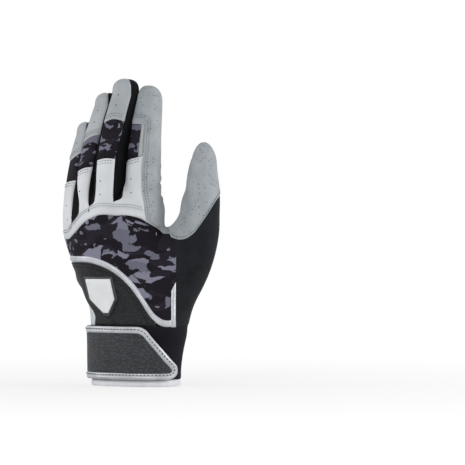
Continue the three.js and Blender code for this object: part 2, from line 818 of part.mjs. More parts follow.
// Fingers. Angles in degrees, and heights of the bend and of the stretch insert as shares of length
const fingers = {
  index: { back: [-50, 16], sides: ["ulnar"], joint: 0.792, insert: [0.744, 0.856] },
  middle: { back: [-50, 50], sides: ["ulnar", "radial"], joint: 0.792, insert: [0.742, 0.869] },
  ring: { back: [-50, 50], sides: ["ulnar", "radial"], joint: 0.763, insert: [0.713, 0.825] },
  little: { back: [-104, 50], sides: ["radial"], joint: 0.7, insert: [0.658, 0.745] },
};
const palmEdge = 120;
const slotEdge = 86;
const slotRound = 14;

// Near the finger's root the back panel widens to the slot in a round curve.
function sideBorder(name, degrees) {
  const chart = fingerCharts[name];
  const slot = Math.sign(degrees) * slotEdge;
  if (Math.abs(degrees) > slotEdge || (name === "index" && degrees > 0)) return fixed(degrees);
  const start = heightWhere(chart, radians(slot), fingerCut);
  const at = (height) => {
    const rise = clamp((height - start) / slotRound, 0, 1);
    return radians(mix(slot, degrees, rise * (2 - rise)));
  };
  return { start: radians(degrees), at };
}

function addFinger(name) {
  const chart = fingerCharts[name];
  const { back, sides, joint, insert } = fingers[name];
  const limb = limbs[name];
  const cut = overAngles(-180, fullTurn, cutHeight(chart));
  const [insertLow, insertHigh] = insert.map(tall);
  const [centre] = limb.at(tall(joint));
  const across = (p) => tall(joint) - (p.x - centre) * Math.tan(laneLean);
  const bend = overAngles(-180, fullTurn, (angle) => heightWhere(chart, angle, across));
  const end = () => tipEnd(limb);
  const rows = (low, high) => Math.max(2, Math.round((high - low) / fingerStep));
  const root = half(cut(0) + cut(radians(180)));
  const lowRows = rows(root, tall(joint));
  const highRows = rows(tall(joint), limb.top);
  const left = sideBorder(name, back[0]);
  const right = sideBorder(name, back[1]);
  const lowGaps = { side: fingerSeamGap, low: jointGap, high: jointGap };
  const highGaps = { side: fingerSeamGap, low: jointGap };

  const knuckle = { left, right, bottom: cut, top: () => insertLow, gaps: lowGaps };
  panel(`${name}_knuckle_strip`, "whiteLeather", chart, knuckle, [5, rows(root, insertLow)], leather);
  const stretch = {
    left: fixed(back[0]),
    right: fixed(back[1]),
    bottom: () => insertLow,
    top: () => insertHigh,
  };
  panel(`${name}_stretch_insert`, "printedFabric", chart, stretch, [5, 4], stretchFabric);
  const tip = { left: fixed(back[0]), right: fixed(back[1]), bottom: () => insertHigh, top: end };
  const tipFinish = name === "index" ? "suede" : "tipLeather";
  panel(`${name}_tip_back`, tipFinish, chart, tip, [5, rows(insertHigh, limb.top)], leather);

  const wall = (label, from, to, finish, width) => {
    const low = { left: from, right: to, bottom: cut, top: bend, gaps: lowGaps };
    panel(`${name}_${label}_lower`, finish, chart, low, [width, lowRows], sideFabric);
    const high = { left: from, right: to, bottom: bend, top: end, gaps: highGaps };
    panel(`${name}_${label}_upper`, finish, chart, high, [width, highRows], sideFabric);
  };
  if (sides.includes("radial")) wall("radial_side", right, fixed(palmEdge), "sideFabric", 3);
  if (name === "index") wall("suede_wrap", right, fixed(palmEdge), "suede", 5);
  if (sides.includes("ulnar")) wall("ulnar_side", fixed(-palmEdge), left, "sideFabric", 3);
  const frontEnd = sides.includes("ulnar") ? fixed(fullTurn - palmEdge) : fixed(fullTurn + back[0]);
  wall("palm_side", fixed(palmEdge), frontEnd, "palmLeather", sides.includes("ulnar") ? 5 : 6);
}
fingerNames.forEach(addFinger);

// Cuff, hem and the strip of elastic inside the palm side of the wrist
const round = { left: fixed(-180), right: fixed(180) };
panel("cuff", "cuffFabric", cuffChart, {
  ...round,
  bottom: () => hemHeight + half(seamGap),
  top: () => cuffTop - half(seamGap),
  gaps: { side: 0 },
}, [36, 6], neoprene, 0, true);
panel("hem_binding", "silver", trunkChart, {
  ...round,
  bottom: () => 0,
  top: () => hemHeight,
  gaps: { side: 0, low: 0 },
}, [36, 1], hemThickness, hemLift, true);
panel("wrist_elastic", "fastener", trunkChart, {
  left: fixed(150),
  right: fixed(215),
  bottom: () => cuffTop + elasticRise,
  top: () => cuffTop + elasticRise + elasticHeight,
}, [8, 1], elasticThickness, -leather - layerGap);

// The wrist tab lies over the back of the cuff, from its root at the little finger's side.
// Its outline runs along the top edge, down the slanted end and back along the bottom edge.
const loopLift = layerGap + fastenerThickness;
const hookLift = loopLift + layerGap + fastenerThickness;
const tabLift = hookLift + layerGap + tabThickness;
const tabRootAngle = -112;
const tabEndShares = [0.075, 0.371];
const cornerSteps = 4;
const edgeSteps = 12;

function tabOutline(inset) {
  const [shoulder, toe] = tabEndShares.map(wide);
  const normal = Math.atan2(toe - shoulder, tabTop - tabBottom);
  const corners = [
    { from: radians(90), to: normal, radius: tabShoulder, across: shoulder, height: tabTop - tabShoulder },
    { from: normal, to: radians(-90), radius: tabToe, across: toe, height: tabBottom + tabToe },
  ];
  const points = [];
  for (const { from, to, radius, across, height } of corners) {
    const centre = across - radius * Math.tan(half(from - to));
    for (let k = 0; k <= cornerSteps; k += 1) {
      const turn = mix(from, to, k / cornerSteps);
      const reach = radius - inset;
      points.push([centre + reach * Math.cos(turn), height + reach * Math.sin(turn)]);
    }
  }
  const [before, after] = points.slice(cornerSteps, cornerSteps + 2);
  const between = [];
  for (let k = 1; k < edgeSteps; k += 1) {
    between.push([mix(before[0], after[0], k / edgeSteps), mix(before[1], after[1], k / edgeSteps)]);
  }
  points.splice(cornerSteps + 1, 0, ...between);
  return points;
}

const tabAngle = (across, height) =>
  angleWhere(trunkChart, height, (p) => acrossOf(p) - across, radians(-80), radians(100));

// The tab's edge on the chart: from the root along the top, round the end and back to the root
function tabEdge(inset) {
  const rim = tabOutline(inset).map(([across, height]) => [tabAngle(across, height), height]);
  const root = radians(tabRootAngle);
  const run = (from, to, height) => {
    const places = [];
    for (let k = 0; k < edgeSteps; k += 1) places.push([mix(from, to, k / edgeSteps), height]);
    return places;
  };
  const top = run(root, rim[0][0], tabTop - inset);
  const bottom = run(root, rim[rim.length - 1][0], tabBottom + inset).reverse();
  return [...top, ...rim, ...bottom];
}

const tabOuter = tabEdge(0);
const tabInner = tabEdge(tabBindingWidth);
const lastEdge = tabOuter.length - 1;
const bindingPatch = (a, b) => {
  const k = Math.round(a * lastEdge);
  return [mix(tabInner[k][0], tabOuter[k][0], b), mix(tabInner[k][1], tabOuter[k][1], b)];
};
const bindingLift = tabLift + half(tabBindingThickness - tabThickness);
const bindingSheet = thinSolid(trunkChart, bindingPatch, lastEdge, 1, bindingLift, tabBindingThickness);
addPanel("tab_binding", "silver", bindingSheet);

const tabRim = tabOutline(tabBindingWidth).map(([across, height]) => [height, across]).reverse();
const tabRimAcross = throughRows(tabRim);
const tabBorders = (margin) => ({
  left: fixed(tabRootAngle),
  right: sideAt(30, 0, cuffTop, (height) => tabAngle(tabRimAcross(height) - margin, height)),
  bottom: () => tabBottom + tabBindingWidth + margin,
  top: () => tabTop - tabBindingWidth - margin,
});
panel("tab_shell", "crackle", trunkChart, tabBorders(0), [18, 8], tabThickness, tabLift);
const hookRootShare = -0.12;
const fastenerBorders = (margin) => ({
  ...tabBorders(margin),
  left: sideAt(-20, 0, cuffTop, (height) => tabAngle(wide(hookRootShare) + margin, height)),
});
const hookBorders = fastenerBorders(fastenerMargin);
const loopBorders = fastenerBorders(half(fastenerMargin));
panel("hook_pad", "fastener", trunkChart, hookBorders, [8, 4], fastenerThickness, hookLift);
panel("loop_pad", "fastener", trunkChart, loopBorders, [9, 5], fastenerThickness, loopLift);
// The width of the tab's anchor round the wrist, in degrees
const tabAnchorWidth = 10;
panel("tab_anchor", "crackle", trunkChart, {
  left: fixed(tabRootAngle - tabAnchorWidth),
  right: fixed(tabRootAngle),
  bottom: () => tabBottom,
  top: () => tabTop,
  gaps: { side: jointGap },
}, [3, 5], tabLift - layerGap, tabLift);

// Joint axes. A finger's hinges run across its lane at the foremost point of its palm side,
// so that the back of the joint opens and nothing meets in front.
const axisProud = 0.4;
const tabAxisProud = 1.4;
const thumbBendDirection = 195;
function foremost(chart, heightAt, low, high) {
  let best = null;
  for (let angle = radians(low); angle <= radians(high); angle += radians(2)) {
    const point = chart.surface(angle, heightAt(angle));
    if (!best || point.y > best.y) best = point;
  }
  return best;
}
const axes = {};
const laneAxis = [Math.cos(laneLean), 0, -Math.sin(laneLean)];
for (const name of fingerNames) {
  const chart = fingerCharts[name];
  const cut = cutHeight(chart);
  const joint = tall(fingers[name].joint);
  const root = foremost(chart, cut, palmEdge, fullTurn - palmEdge);
  const bend = foremost(chart, () => joint, palmEdge, fullTurn - palmEdge);
  axes[`${name}_root`] = { at: [root.x, root.y + axisProud, root.z], along: laneAxis };
  axes[`${name}_bend`] = { at: [bend.x, bend.y + axisProud, bend.z], along: laneAxis };
}
const thumbBend = radians(thumbBendDirection);
const thumbAxisPoint = thumbChart.surface(thumbBend, thumbJointHeight);
const thumbOut = surfaceNormal(handField, thumbAxisPoint);
axes.thumb_bend = {
  at: thumbAxisPoint.clone().addScaledVector(thumbOut, axisProud).toArray(),
  along: [thumbOut.y, -thumbOut.x, 0],
};
const tabAxisDepth = -tabLift - tabAxisProud;
const tabRootPoint = trunkChart.place(radians(tabRootAngle), half(tabBottom + tabTop), tabAxisDepth);
axes.tab = { at: tabRootPoint.toArray(), along: [0, 0, 1] };

// The group stands on the middle of the hem's box.
const box = new THREE.Box3().setFromObject(glove);
const centre = box.getCenter(new THREE.Vector3());
glove.position.set(-centre.x, -centre.y, -box.min.z);

for (const axis of Object.values(axes)) {
  axis.at = new THREE.Vector3(...axis.at).add(glove.position).toArray();
}
glove.userData.axes = axes;

export default glove;
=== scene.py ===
# %% [markdown]
# # A batting glove, sewn panel by panel
#
# A batting glove is cut from flat leather and stretch cloth and sewn into the shape of a hand.
# This lesson dresses the glove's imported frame. Each panel starts as a flat grid that is laid
# over one smooth hand form between its seams, and is then given its thickness, its rolled edges
# and its stitches.

# %% Load the frame
import math
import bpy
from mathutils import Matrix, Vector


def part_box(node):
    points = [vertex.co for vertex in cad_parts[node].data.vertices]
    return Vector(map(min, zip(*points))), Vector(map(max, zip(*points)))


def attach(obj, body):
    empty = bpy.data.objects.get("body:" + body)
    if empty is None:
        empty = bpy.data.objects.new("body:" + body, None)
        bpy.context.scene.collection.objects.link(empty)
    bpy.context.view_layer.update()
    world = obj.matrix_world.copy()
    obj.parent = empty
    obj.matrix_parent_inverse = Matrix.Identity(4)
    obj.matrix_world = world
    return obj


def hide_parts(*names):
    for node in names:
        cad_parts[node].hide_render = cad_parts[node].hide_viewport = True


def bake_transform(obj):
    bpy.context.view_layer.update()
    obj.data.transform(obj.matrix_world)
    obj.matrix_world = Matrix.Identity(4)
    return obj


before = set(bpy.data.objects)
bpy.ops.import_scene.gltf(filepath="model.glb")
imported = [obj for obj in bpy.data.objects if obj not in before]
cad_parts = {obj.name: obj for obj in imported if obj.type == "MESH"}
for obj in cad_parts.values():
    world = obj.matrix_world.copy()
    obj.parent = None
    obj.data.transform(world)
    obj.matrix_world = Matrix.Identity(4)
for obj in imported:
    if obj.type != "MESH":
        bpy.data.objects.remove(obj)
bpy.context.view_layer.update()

import bmesh
import bpy
import numpy as np
from mathutils import Matrix, Vector

scene = bpy.context.scene
scene.view_settings.view_transform = "Standard"

# %% [markdown]
# ## The hand form
#
# The form is written once, in millimetres, as tables of stations up the wrist, the palm and each
# finger. A field tells how far a point is outside the skin, and fields melt into each other where
# two limbs join. This gives clean webs between the fingers and the thumb, which loose tubes
# pushed into each other would not.

# %% Sizes of the whole glove
MM = 0.001
glove_length = 240.0
hand_breadth = 100.0
cuff_top = 48.0
hem_height = 5.4
view_turn = math.radians(30)
view_centre = (4.0, -6.9)
hem_centre = (5.7, -5.9)

hem_low, hem_high = (np.array(corner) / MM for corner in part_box("hem_binding"))
shift = np.array([*((hem_low + hem_high) / 2)[:2] - hem_centre, 0.0])
print("the frame stands", shift.round(3), "mm from the form's own origin")


def tall(share):
    return share * glove_length


def wide(share):
    return share * hand_breadth


# %% Curves through tables
def through_rows(rows):
    table = np.array(rows, float)
    return lambda place: np.interp(place, table[:, 0], table[:, 1])


def through_stations(rows):
    table = np.array(rows, float)
    heights, values = table[:, 0], table[:, 1:]
    spans = np.diff(heights)
    rates = np.diff(values, axis=0) / spans[:, None]
    slopes = np.concatenate([rates[:1], rates[:1].repeat(len(spans) - 1, 0), rates[-1:]])
    both = (spans[:-1] + spans[1:])[:, None]
    slopes[1:-1] = (rates[:-1] * spans[1:, None] + rates[1:] * spans[:-1, None]) / both

    def at(height):
        z = np.clip(np.atleast_1d(height), heights[0], heights[-1])
        k = np.clip(np.searchsorted(heights, z, side="right") - 1, 0, len(spans) - 1)
        span = spans[k][:, None]
        s = (z - heights[k])[:, None] / span
        start = 2 * s**3 - 3 * s**2 + 1
        leave = (s**3 - 2 * s**2 + s) * span
        arrive = (s**3 - s**2) * span
        return values[k] * start + slopes[k] * leave + values[k + 1] * (1 - start) + slopes[k + 1] * arrive

    return at


def through_curve(rows):
    at = through_stations(rows)
    return lambda place: at(np.ravel(place))[:, 0].reshape(np.shape(place))


# %% Stations of the wrist and palm
# A row holds the height, the middle in x and y, half the width, half the depth, and the palm's arch.
trunk_shares = [
    (-0.042, 0.057, -0.059, 0.36, 0.25, 0),
    (0.03, 0.057, -0.059, 0.36, 0.25, 0),
    (0.042, 0.057, -0.059, 0.36, 0.25, 0),
    (0.125, 0.064, -0.054, 0.372, 0.255, 0),
    (0.2, 0.068, -0.052, 0.386, 0.253, 0),
    (0.258, 0.043, -0.07, 0.377, 0.235, 0.01),
    (0.308, -0.016, -0.1, 0.364, 0.215, 0.04),
    (0.367, -0.089, -0.125, 0.369, 0.2, 0.08),
    (0.429, -0.143, -0.145, 0.388, 0.18, 0.12),
    (0.508, -0.183, -0.165, 0.411, 0.155, 0.18),
    (0.588, -0.195, -0.18, 0.42, 0.135, 0.23),
    (0.667, -0.195, -0.18, 0.41, 0.125, 0.25),
]
trunk_at = through_stations([(tall(row[0]), *(wide(v) for v in row[1:])) for row in trunk_shares])
print("the cuff is", 2 * trunk_at(20)[0, 2], "mm wide")

# %% Stations of the fingers and the thumb
# A limb has its turn in degrees, its top, the length of its cap, and how square it is round and over.
# A row holds the height, the middle across and in depth, half the width and half the depth.
limb_shares = {
    "index": (22, 0.978, 0.052, 2.7, 2.2, [
        (0.396, 0.02, 0.08, 0.12, 0.12), (0.583, 0.066, -0.02, 0.134, 0.122),
        (0.688, 0.074, -0.025, 0.132, 0.12), (0.792, 0.082, 0, 0.126, 0.112),
        (0.883, 0.098, 0.05, 0.116, 0.103), (0.933, 0.11, 0.08, 0.108, 0.098)]),
    "middle": (8, 1.0, 0.05, 2.7, 2.8, [
        (0.396, -0.14, 0.09, 0.11, 0.12), (0.592, -0.185, -0.03, 0.116, 0.125),
        (0.688, -0.183, -0.03, 0.116, 0.122), (0.779, -0.166, -0.025, 0.112, 0.114),
        (0.883, -0.115, 0, 0.108, 0.104), (0.954, -0.062, 0.035, 0.103, 0.098)]),
    "ring": (-15, 0.954, 0.048, 2.7, 2.8, [
        (0.396, -0.26, 0.16, 0.105, 0.12), (0.583, -0.368, 0.12, 0.108, 0.117),
        (0.638, -0.36, 0.125, 0.107, 0.115), (0.758, -0.31, 0.14, 0.105, 0.109),
        (0.858, -0.245, 0.175, 0.102, 0.101), (0.913, -0.205, 0.205, 0.098, 0.094)]),
    "little": (-30, 0.858, 0.046, 2.7, 2.8, [
        (0.375, -0.33, 0.28, 0.095, 0.11), (0.521, -0.446, 0.28, 0.096, 0.108),
        (0.604, -0.446, 0.29, 0.094, 0.104), (0.692, -0.424, 0.305, 0.093, 0.099),
        (0.775, -0.386, 0.33, 0.09, 0.093), (0.817, -0.36, 0.35, 0.087, 0.088)]),
    "thumb": (18, 0.793, 0.063, 2.2, 1.8, [
        (0.188, 0.2, 0.03, 0.14, 0.18), (0.258, 0.26, 0.02, 0.175, 0.18),
        (0.321, 0.335, 0.01, 0.195, 0.18), (0.383, 0.4, 0, 0.195, 0.175),
        (0.442, 0.457, -0.01, 0.182, 0.16), (0.5, 0.512, -0.02, 0.152, 0.14),
        (0.563, 0.543, -0.02, 0.126, 0.128), (0.625, 0.542, -0.02, 0.128, 0.12),
        (0.667, 0.538, -0.02, 0.122, 0.112), (0.708, 0.54, -0.02, 0.108, 0.102),
        (0.742, 0.548, -0.02, 0.092, 0.09)]),
}
finger_names = ["index", "middle", "ring", "little"]


def from_view(across, depth):
    cos, sin = math.cos(view_turn), math.sin(view_turn)
    return across * cos - depth * sin + view_centre[0], across * sin + depth * cos + view_centre[1]


def across_of(p):
    return (p[:, 0] - view_centre[0]) * math.cos(view_turn) + (p[:, 1] - view_centre[1]) * math.sin(view_turn)


limbs = {}
for limb_name, (turn, top, cap, roundness, crown, stations) in limb_shares.items():
    rows = [(tall(z), *from_view(wide(u), wide(w)), wide(a), wide(b)) for z, u, w, a, b in stations]
    limbs[limb_name] = {
        "at": through_stations(rows), "root": rows[0][0], "turn": math.radians(turn),
        "top": tall(top), "cap": tall(cap), "round": roundness, "crown": crown,
    }
print("limbs", list(limbs))

# %% [markdown]
# Where the fingers leave the hand, and the planes of the slots between them, come next. All the
# slots lean alike, so a finger that bends never crosses its neighbour.

# %% The cut between hand and fingers
lane_lean = math.radians(5)
lane_places = [wide(share) for share in (-0.144, -0.352, -0.538)]
lane_round = 2.0
lane_room = 0.12
web_ramp = 5.0
web_heights = [tall(share) for share in (0.603, 0.588, 0.545)]
back_cut = through_curve([(wide(u), tall(z)) for u, z in [
    (-0.6, 0.45), (-0.524, 0.484), (-0.438, 0.53), (-0.337, 0.567), (-0.235, 0.584),
    (-0.117, 0.592), (0.063, 0.578), (0.2, 0.558), (0.4, 0.542)]])
palm_cut = through_curve([(wide(x), tall(z)) for x, z in [
    (-0.6, 0.492), (-0.45, 0.533), (-0.3, 0.588), (-0.12, 0.621), (0.08, 0.625), (0.3, 0.608)]])
hand_top = tall(0.62)
knuckle_middle = (wide(-0.195), wide(-0.18))
knuckle_half_width = wide(0.42)
knuckle_bow = wide(0.21)
knuckle_depth = wide(0.24)


def finger_cut(p):
    side = (p[:, 0] - knuckle_middle[0]) / knuckle_half_width
    middle = knuckle_middle[1] + knuckle_bow * side**2
    share = np.clip((p[:, 1] - middle) / knuckle_depth + 0.5, 0, 1)
    back = back_cut(across_of(p))
    return back + (palm_cut(p[:, 0]) - back) * share


# %% Fields that say how far a point is outside the skin
thumb_blend = 20.0
finger_blend = 6.0
palm_squareness = 2.4
dome_start, dome_drop, dome_height = tall(0.567), tall(0.092), tall(0.083)
dome_side = wide(0.56)
dome_slope = 1.6
limb_foot = tall(0.063)


def soft_min(a, b, reach):
    share = np.clip(0.5 + (b - a) / (2 * reach), 0, 1)
    return b + (a - b) * share - reach * share * (1 - share)


def soft_max(a, b, reach):
    return -soft_min(-a, -b, reach)


def trunk_field(p):
    x, y, width, depth, arch = trunk_at(p[:, 2]).T
    side = (p[:, 0] - x) / width
    thick = (p[:, 1] - y - arch * side**2) / depth
    flat = (np.abs(side) ** palm_squareness + np.abs(thick) ** palm_squareness) ** (1 / palm_squareness)
    drop = np.clip(-p[:, 0] / dome_side, 0, 1) ** dome_slope
    start = dome_start - dome_drop * drop
    over = np.maximum(0, (p[:, 2] - start) / dome_height)
    return (np.hypot(flat, over) - 1) * depth


def limb_field(limb, p):
    x, y, width, depth = limb["at"](p[:, 2]).T
    cos, sin = math.cos(limb["turn"]), math.sin(limb["turn"])
    side = ((p[:, 0] - x) * cos + (p[:, 1] - y) * sin) / width
    thick = ((p[:, 1] - y) * cos - (p[:, 0] - x) * sin) / depth
    power = limb["round"]
    flat = (np.abs(side) ** power + np.abs(thick) ** power) ** (1 / power)
    over = np.maximum(0, (p[:, 2] - limb["top"] + limb["cap"]) / limb["cap"])
    under = np.maximum(0, (limb["root"] - p[:, 2]) / limb_foot)
    crown = limb["crown"]
    return ((flat**crown + over**crown + under**crown) ** (1 / crown) - 1) * depth


def hand_field(p):
    return soft_min(trunk_field(p), limb_field(limbs["thumb"], p), thumb_blend)


def palm_field(p):
    hand = hand_field(p)
    roots = [soft_min(hand, limb_field(limbs[name], p), finger_blend) for name in finger_names]
    return np.minimum.reduce(roots)


def lane_of(p):
    return p[:, 0] * math.cos(lane_lean) - p[:, 2] * math.sin(lane_lean)


web_line = through_rows(sorted(zip(lane_places, web_heights)))
skin_room = 0.01
skin_reach = 0.02


def finger_field(name):
    """Below the web between two fingers the skin is still the palm's, so the leather runs on."""
    order = finger_names.index(name)

    def field(p):
        lane = lane_of(p)
        ramp = np.clip((p[:, 2] - np.maximum(web_line(lane), finger_cut(p))) / web_ramp, 0, 1)
        own = soft_min(hand_field(p), limb_field(limbs[name], p), finger_blend)
        value = palm_field(p) * (1 - ramp) + own * ramp
        room = skin_room + lane_room * ramp
        reach = skin_reach + lane_round * ramp
        if order < len(lane_places):
            value = soft_max(value, lane_places[order] + room - lane, reach)
        if order > 0:
            value = soft_max(value, lane - lane_places[order - 1] + room, reach)
        return value

    return field


# %% [markdown]
# ## Charts
#
# A chart finds the skin along a ray from inside a limb, from an angle round the limb and a height
# up it. Angle 0 looks out of the back of the hand and 90 degrees towards the thumb. A seam is then
# a curve of angle and height, and a panel is the patch between four such curves.

# %% Walk out along rays
march_step = 2.5
march_limit = 90.0
halvings = 13
probe = 0.2


def walk_out(field, origin, way):
    far = np.full(len(origin), march_step)
    going = np.arange(len(origin))
    while len(going):
        inside = field(origin[going] + way[going] * far[going, None]) < 0
        going = going[inside & (far[going] < march_limit)]
        far[going] += march_step
    near = far - march_step
    for _ in range(halvings):
        middle = (near + far) / 2
        inside = field(origin + way * middle[:, None]) < 0
        near = np.where(inside, middle, near)
        far = np.where(inside, far, middle)
    return origin + way * ((near + far) / 2)[:, None]


def normals_of(field, p):
    slope = []
    for axis in np.eye(3) * probe:
        slope.append(field(p + axis) - field(p - axis))
    slope = np.array(slope).T
    return slope / np.linalg.norm(slope, axis=1)[:, None]


class Chart:
    def __init__(self, field, ray, walk=None):
        self.field, self.ray, self.walk = field, ray, walk or field

    def surface(self, angle, height):
        angle, height = np.broadcast_arrays(np.atleast_1d(angle).astype(float), height)
        origin, way = self.ray(angle, np.array(height, float))
        return walk_out(self.walk, origin, way)


# %% Charts of the palm, the thumb and the fingers
spine_share = 0.6
seam_overrun = 3.0
thumb_seam = through_rows([(tall(0.45), wide(0.33)), (tall(0.517), wide(0.262))])


def past_seam(p):
    return across_of(p) - thumb_seam(p[:, 2])


def trunk_ray(angle, height):
    x, y, width, depth, arch = trunk_at(height).T
    side = spine_share * np.sin(angle)
    origin = np.array([x + width * side, y + arch * side**2, height]).T
    along = np.array([width, 2 * arch * side, 0 * side]).T
    along /= np.linalg.norm(along, axis=1)[:, None]
    out = np.array([along[:, 1], -along[:, 0], 0 * side]).T
    sideways = width * (1 - spine_share) * np.sin(angle)
    outward = depth * np.cos(angle)
    way = along * sideways[:, None] + out * outward[:, None]
    return origin, way / np.linalg.norm(way, axis=1)[:, None]


def limb_ray(limb):
    def ray(angle, height):
        end = limb["top"] - limb["cap"]
        lift = np.clip((height - end) / limb["cap"], 0, 1) * math.radians(90)
        x, y, width, depth = limb["at"](np.minimum(height, end)).T
        side = width * np.sin(angle) * np.cos(lift)
        back = -depth * np.cos(angle) * np.cos(lift)
        cos, sin = math.cos(limb["turn"]), math.sin(limb["turn"])
        way = np.array([side * cos - back * sin, side * sin + back * cos, limb["cap"] * np.sin(lift)]).T
        return np.array([x, y, np.minimum(height, end)]).T, way / np.linalg.norm(way, axis=1)[:, None]

    return ray


def thumb_ray(angle, height):
    origin, way = limb_ray(limbs["thumb"])(angle, height)
    short = np.maximum(0, seam_overrun - past_seam(origin))
    origin[:, 0] += short * math.cos(view_turn)
    origin[:, 1] += short * math.sin(view_turn)
    return origin, way


hand_chart = Chart(palm_field, trunk_ray, lambda p: np.maximum(palm_field(p), past_seam(p) - seam_overrun))
cuff_chart = Chart(palm_field, trunk_ray)
thumb_chart = Chart(hand_field, thumb_ray, lambda p: np.maximum(hand_field(p), -past_seam(p) - seam_overrun))
finger_charts = {name: Chart(finger_field(name), limb_ray(limbs[name])) for name in finger_names}
print("skin at the middle of the back", hand_chart.surface(0, 100.0).round(1))

# %% Searches on a chart
search_turns = 18
table_steps = 140


def angle_where(chart, height, test, low, high):
    near, far = np.full(len(height), math.radians(low)), np.full(len(height), math.radians(high))
    for _ in range(search_turns):
        middle = (near + far) / 2
        below = test(chart.surface(middle, height)) < 0
        near, far = np.where(below, middle, near), np.where(below, far, middle)
    return (near + far) / 2


def height_where(chart, angle, height_of):
    low, high = np.zeros(len(angle)), np.full(len(angle), glove_length)
    for _ in range(search_turns):
        middle = (low + high) / 2
        below = middle < height_of(chart.surface(angle, middle))
        low, high = np.where(below, middle, low), np.where(below, high, middle)
    return (low + high) / 2


notch_step = 2.0
notch_steps = 60


def notch_top(chart, angle, beyond):
    high = np.full(len(angle), hand_top)
    for _ in range(notch_steps):
        going = ~beyond(chart.surface(angle, high - notch_step)) & (high > cuff_top)
        if not going.any():
            break
        high = np.where(going, high - notch_step, high)
    low = high - notch_step
    for _ in range(search_turns):
        middle = (low + high) / 2
        inside = beyond(chart.surface(angle, middle))
        low, high = np.where(inside, middle, low), np.where(inside, high, middle)
    return (low + high) / 2


class Side:
    """A border whose angle follows the height."""

    def __init__(self, start, low=None, high=None, value=None):
        self.start = math.radians(start)
        self.heights = np.linspace(low, high, table_steps + 1) if value else np.array([0.0])
        self.angles = value(self.heights) if value else np.array([self.start])

    def at(self, height):
        return np.interp(height, self.heights, self.angles)

    def turned(self, degrees):
        other = Side(math.degrees(self.start) + degrees)
        other.heights, other.angles = self.heights, self.angles + math.radians(degrees)
        return other


def over_angles(low, high, value):
    angles = np.linspace(math.radians(low), math.radians(high), table_steps + 1)
    heights = value(angles)
    return lambda angle: np.interp(angle, angles, heights)


def level(height):
    return lambda angle: np.full(np.shape(angle), float(height))


# %% [markdown]
# ## Colours and materials
#
# Each material is named for what the real one is. Colours are sRGB hex values turned to linear
# light. A pattern reads the attribute called place, the spot of each point at rest, so that it
# stays on the leather when a finger bends.

# %% One function for a node, and one for a colour
def linear(code):
    channels = [int(code[k:k + 2], 16) / 255 for k in (1, 3, 5)]
    return tuple(c / 12.92 if c <= 0.04045 else ((c + 0.055) / 1.055) ** 2.4 for c in channels) + (1.0,)


def add_node(tree, kind, sockets=None, links=None, stops=None, **settings):
    node = tree.nodes.new(kind)
    for key, value in settings.items():
        setattr(node, key, value)
    for key, value in (sockets or {}).items():
        node.inputs[key].default_value = value
    for key, source in (links or {}).items():
        tree.links.new(source, node.inputs[key])
    if stops:
        ramp = node.color_ramp
        while len(ramp.elements) < len(stops):
            ramp.elements.new(0.5)
        for element, (position, code) in zip(ramp.elements, stops):
            element.position, element.color = position, linear(code)
    return node


def start_material(name, roughness, **sockets):
    material = bpy.data.materials.new(name)
    material.use_nodes = True
    tree = material.node_tree
    tree.nodes.clear()
    shader = add_node(tree, "ShaderNodeBsdfPrincipled", {"Roughness": roughness, **sockets})
    add_node(tree, "ShaderNodeOutputMaterial", links={"Surface": shader.outputs["BSDF"]})
    place = add_node(tree, "ShaderNodeAttribute", attribute_name="place")
    return material, tree, shader, place.outputs["Vector"]


# %% [markdown]
# Full-grain leather is smooth, with a fine pebble grain of under a millimetre and slow cloudy
# changes of tone from the tanning. The same recipe serves the light knuckle leather, the greyer
# fingertips and the palm, each with its own colours.

# %% Full-grain leather
def grain_leather(name, low, high, roughness, grain_mm, depth_mm):
    material, tree, shader, place = start_material(
        name, roughness, **{"IOR": 1.45, "Specular IOR Level": 0.4})
    cloud = add_node(tree, "ShaderNodeTexNoise", {"Scale": 1 / (26 * MM), "Detail": 3.0}, {"Vector": place})
    tone = add_node(tree, "ShaderNodeValToRGB", links={"Fac": cloud.outputs["Fac"]},
                    stops=[(0.32, low), (0.68, high)])
    tree.links.new(tone.outputs["Color"], shader.inputs["Base Color"])
    grain = add_node(tree, "ShaderNodeTexVoronoi", {"Scale": 1 / (grain_mm * MM), "Randomness": 1.0},
                     {"Vector": place})
    bump = add_node(tree, "ShaderNodeBump", {"Strength": 0.5, "Distance": depth_mm * MM},
                    {"Height": grain.outputs["Distance"]})
    tree.links.new(bump.outputs["Normal"], shader.inputs["Normal"])
    return material


white_leather = grain_leather("white_full_grain_leather", "#ced1d5", "#dee1e4", 0.48, 0.8, 0.06)
tip_leather = grain_leather("grey_full_grain_leather", "#a0a5a9", "#b2b7bb", 0.52, 0.8, 0.06)
palm_leather = grain_leather("pale_palm_leather", "#c2c6c9", "#d6d9db", 0.5, 0.9, 0.08)
print(white_leather.name, tip_leather.name, palm_leather.name)
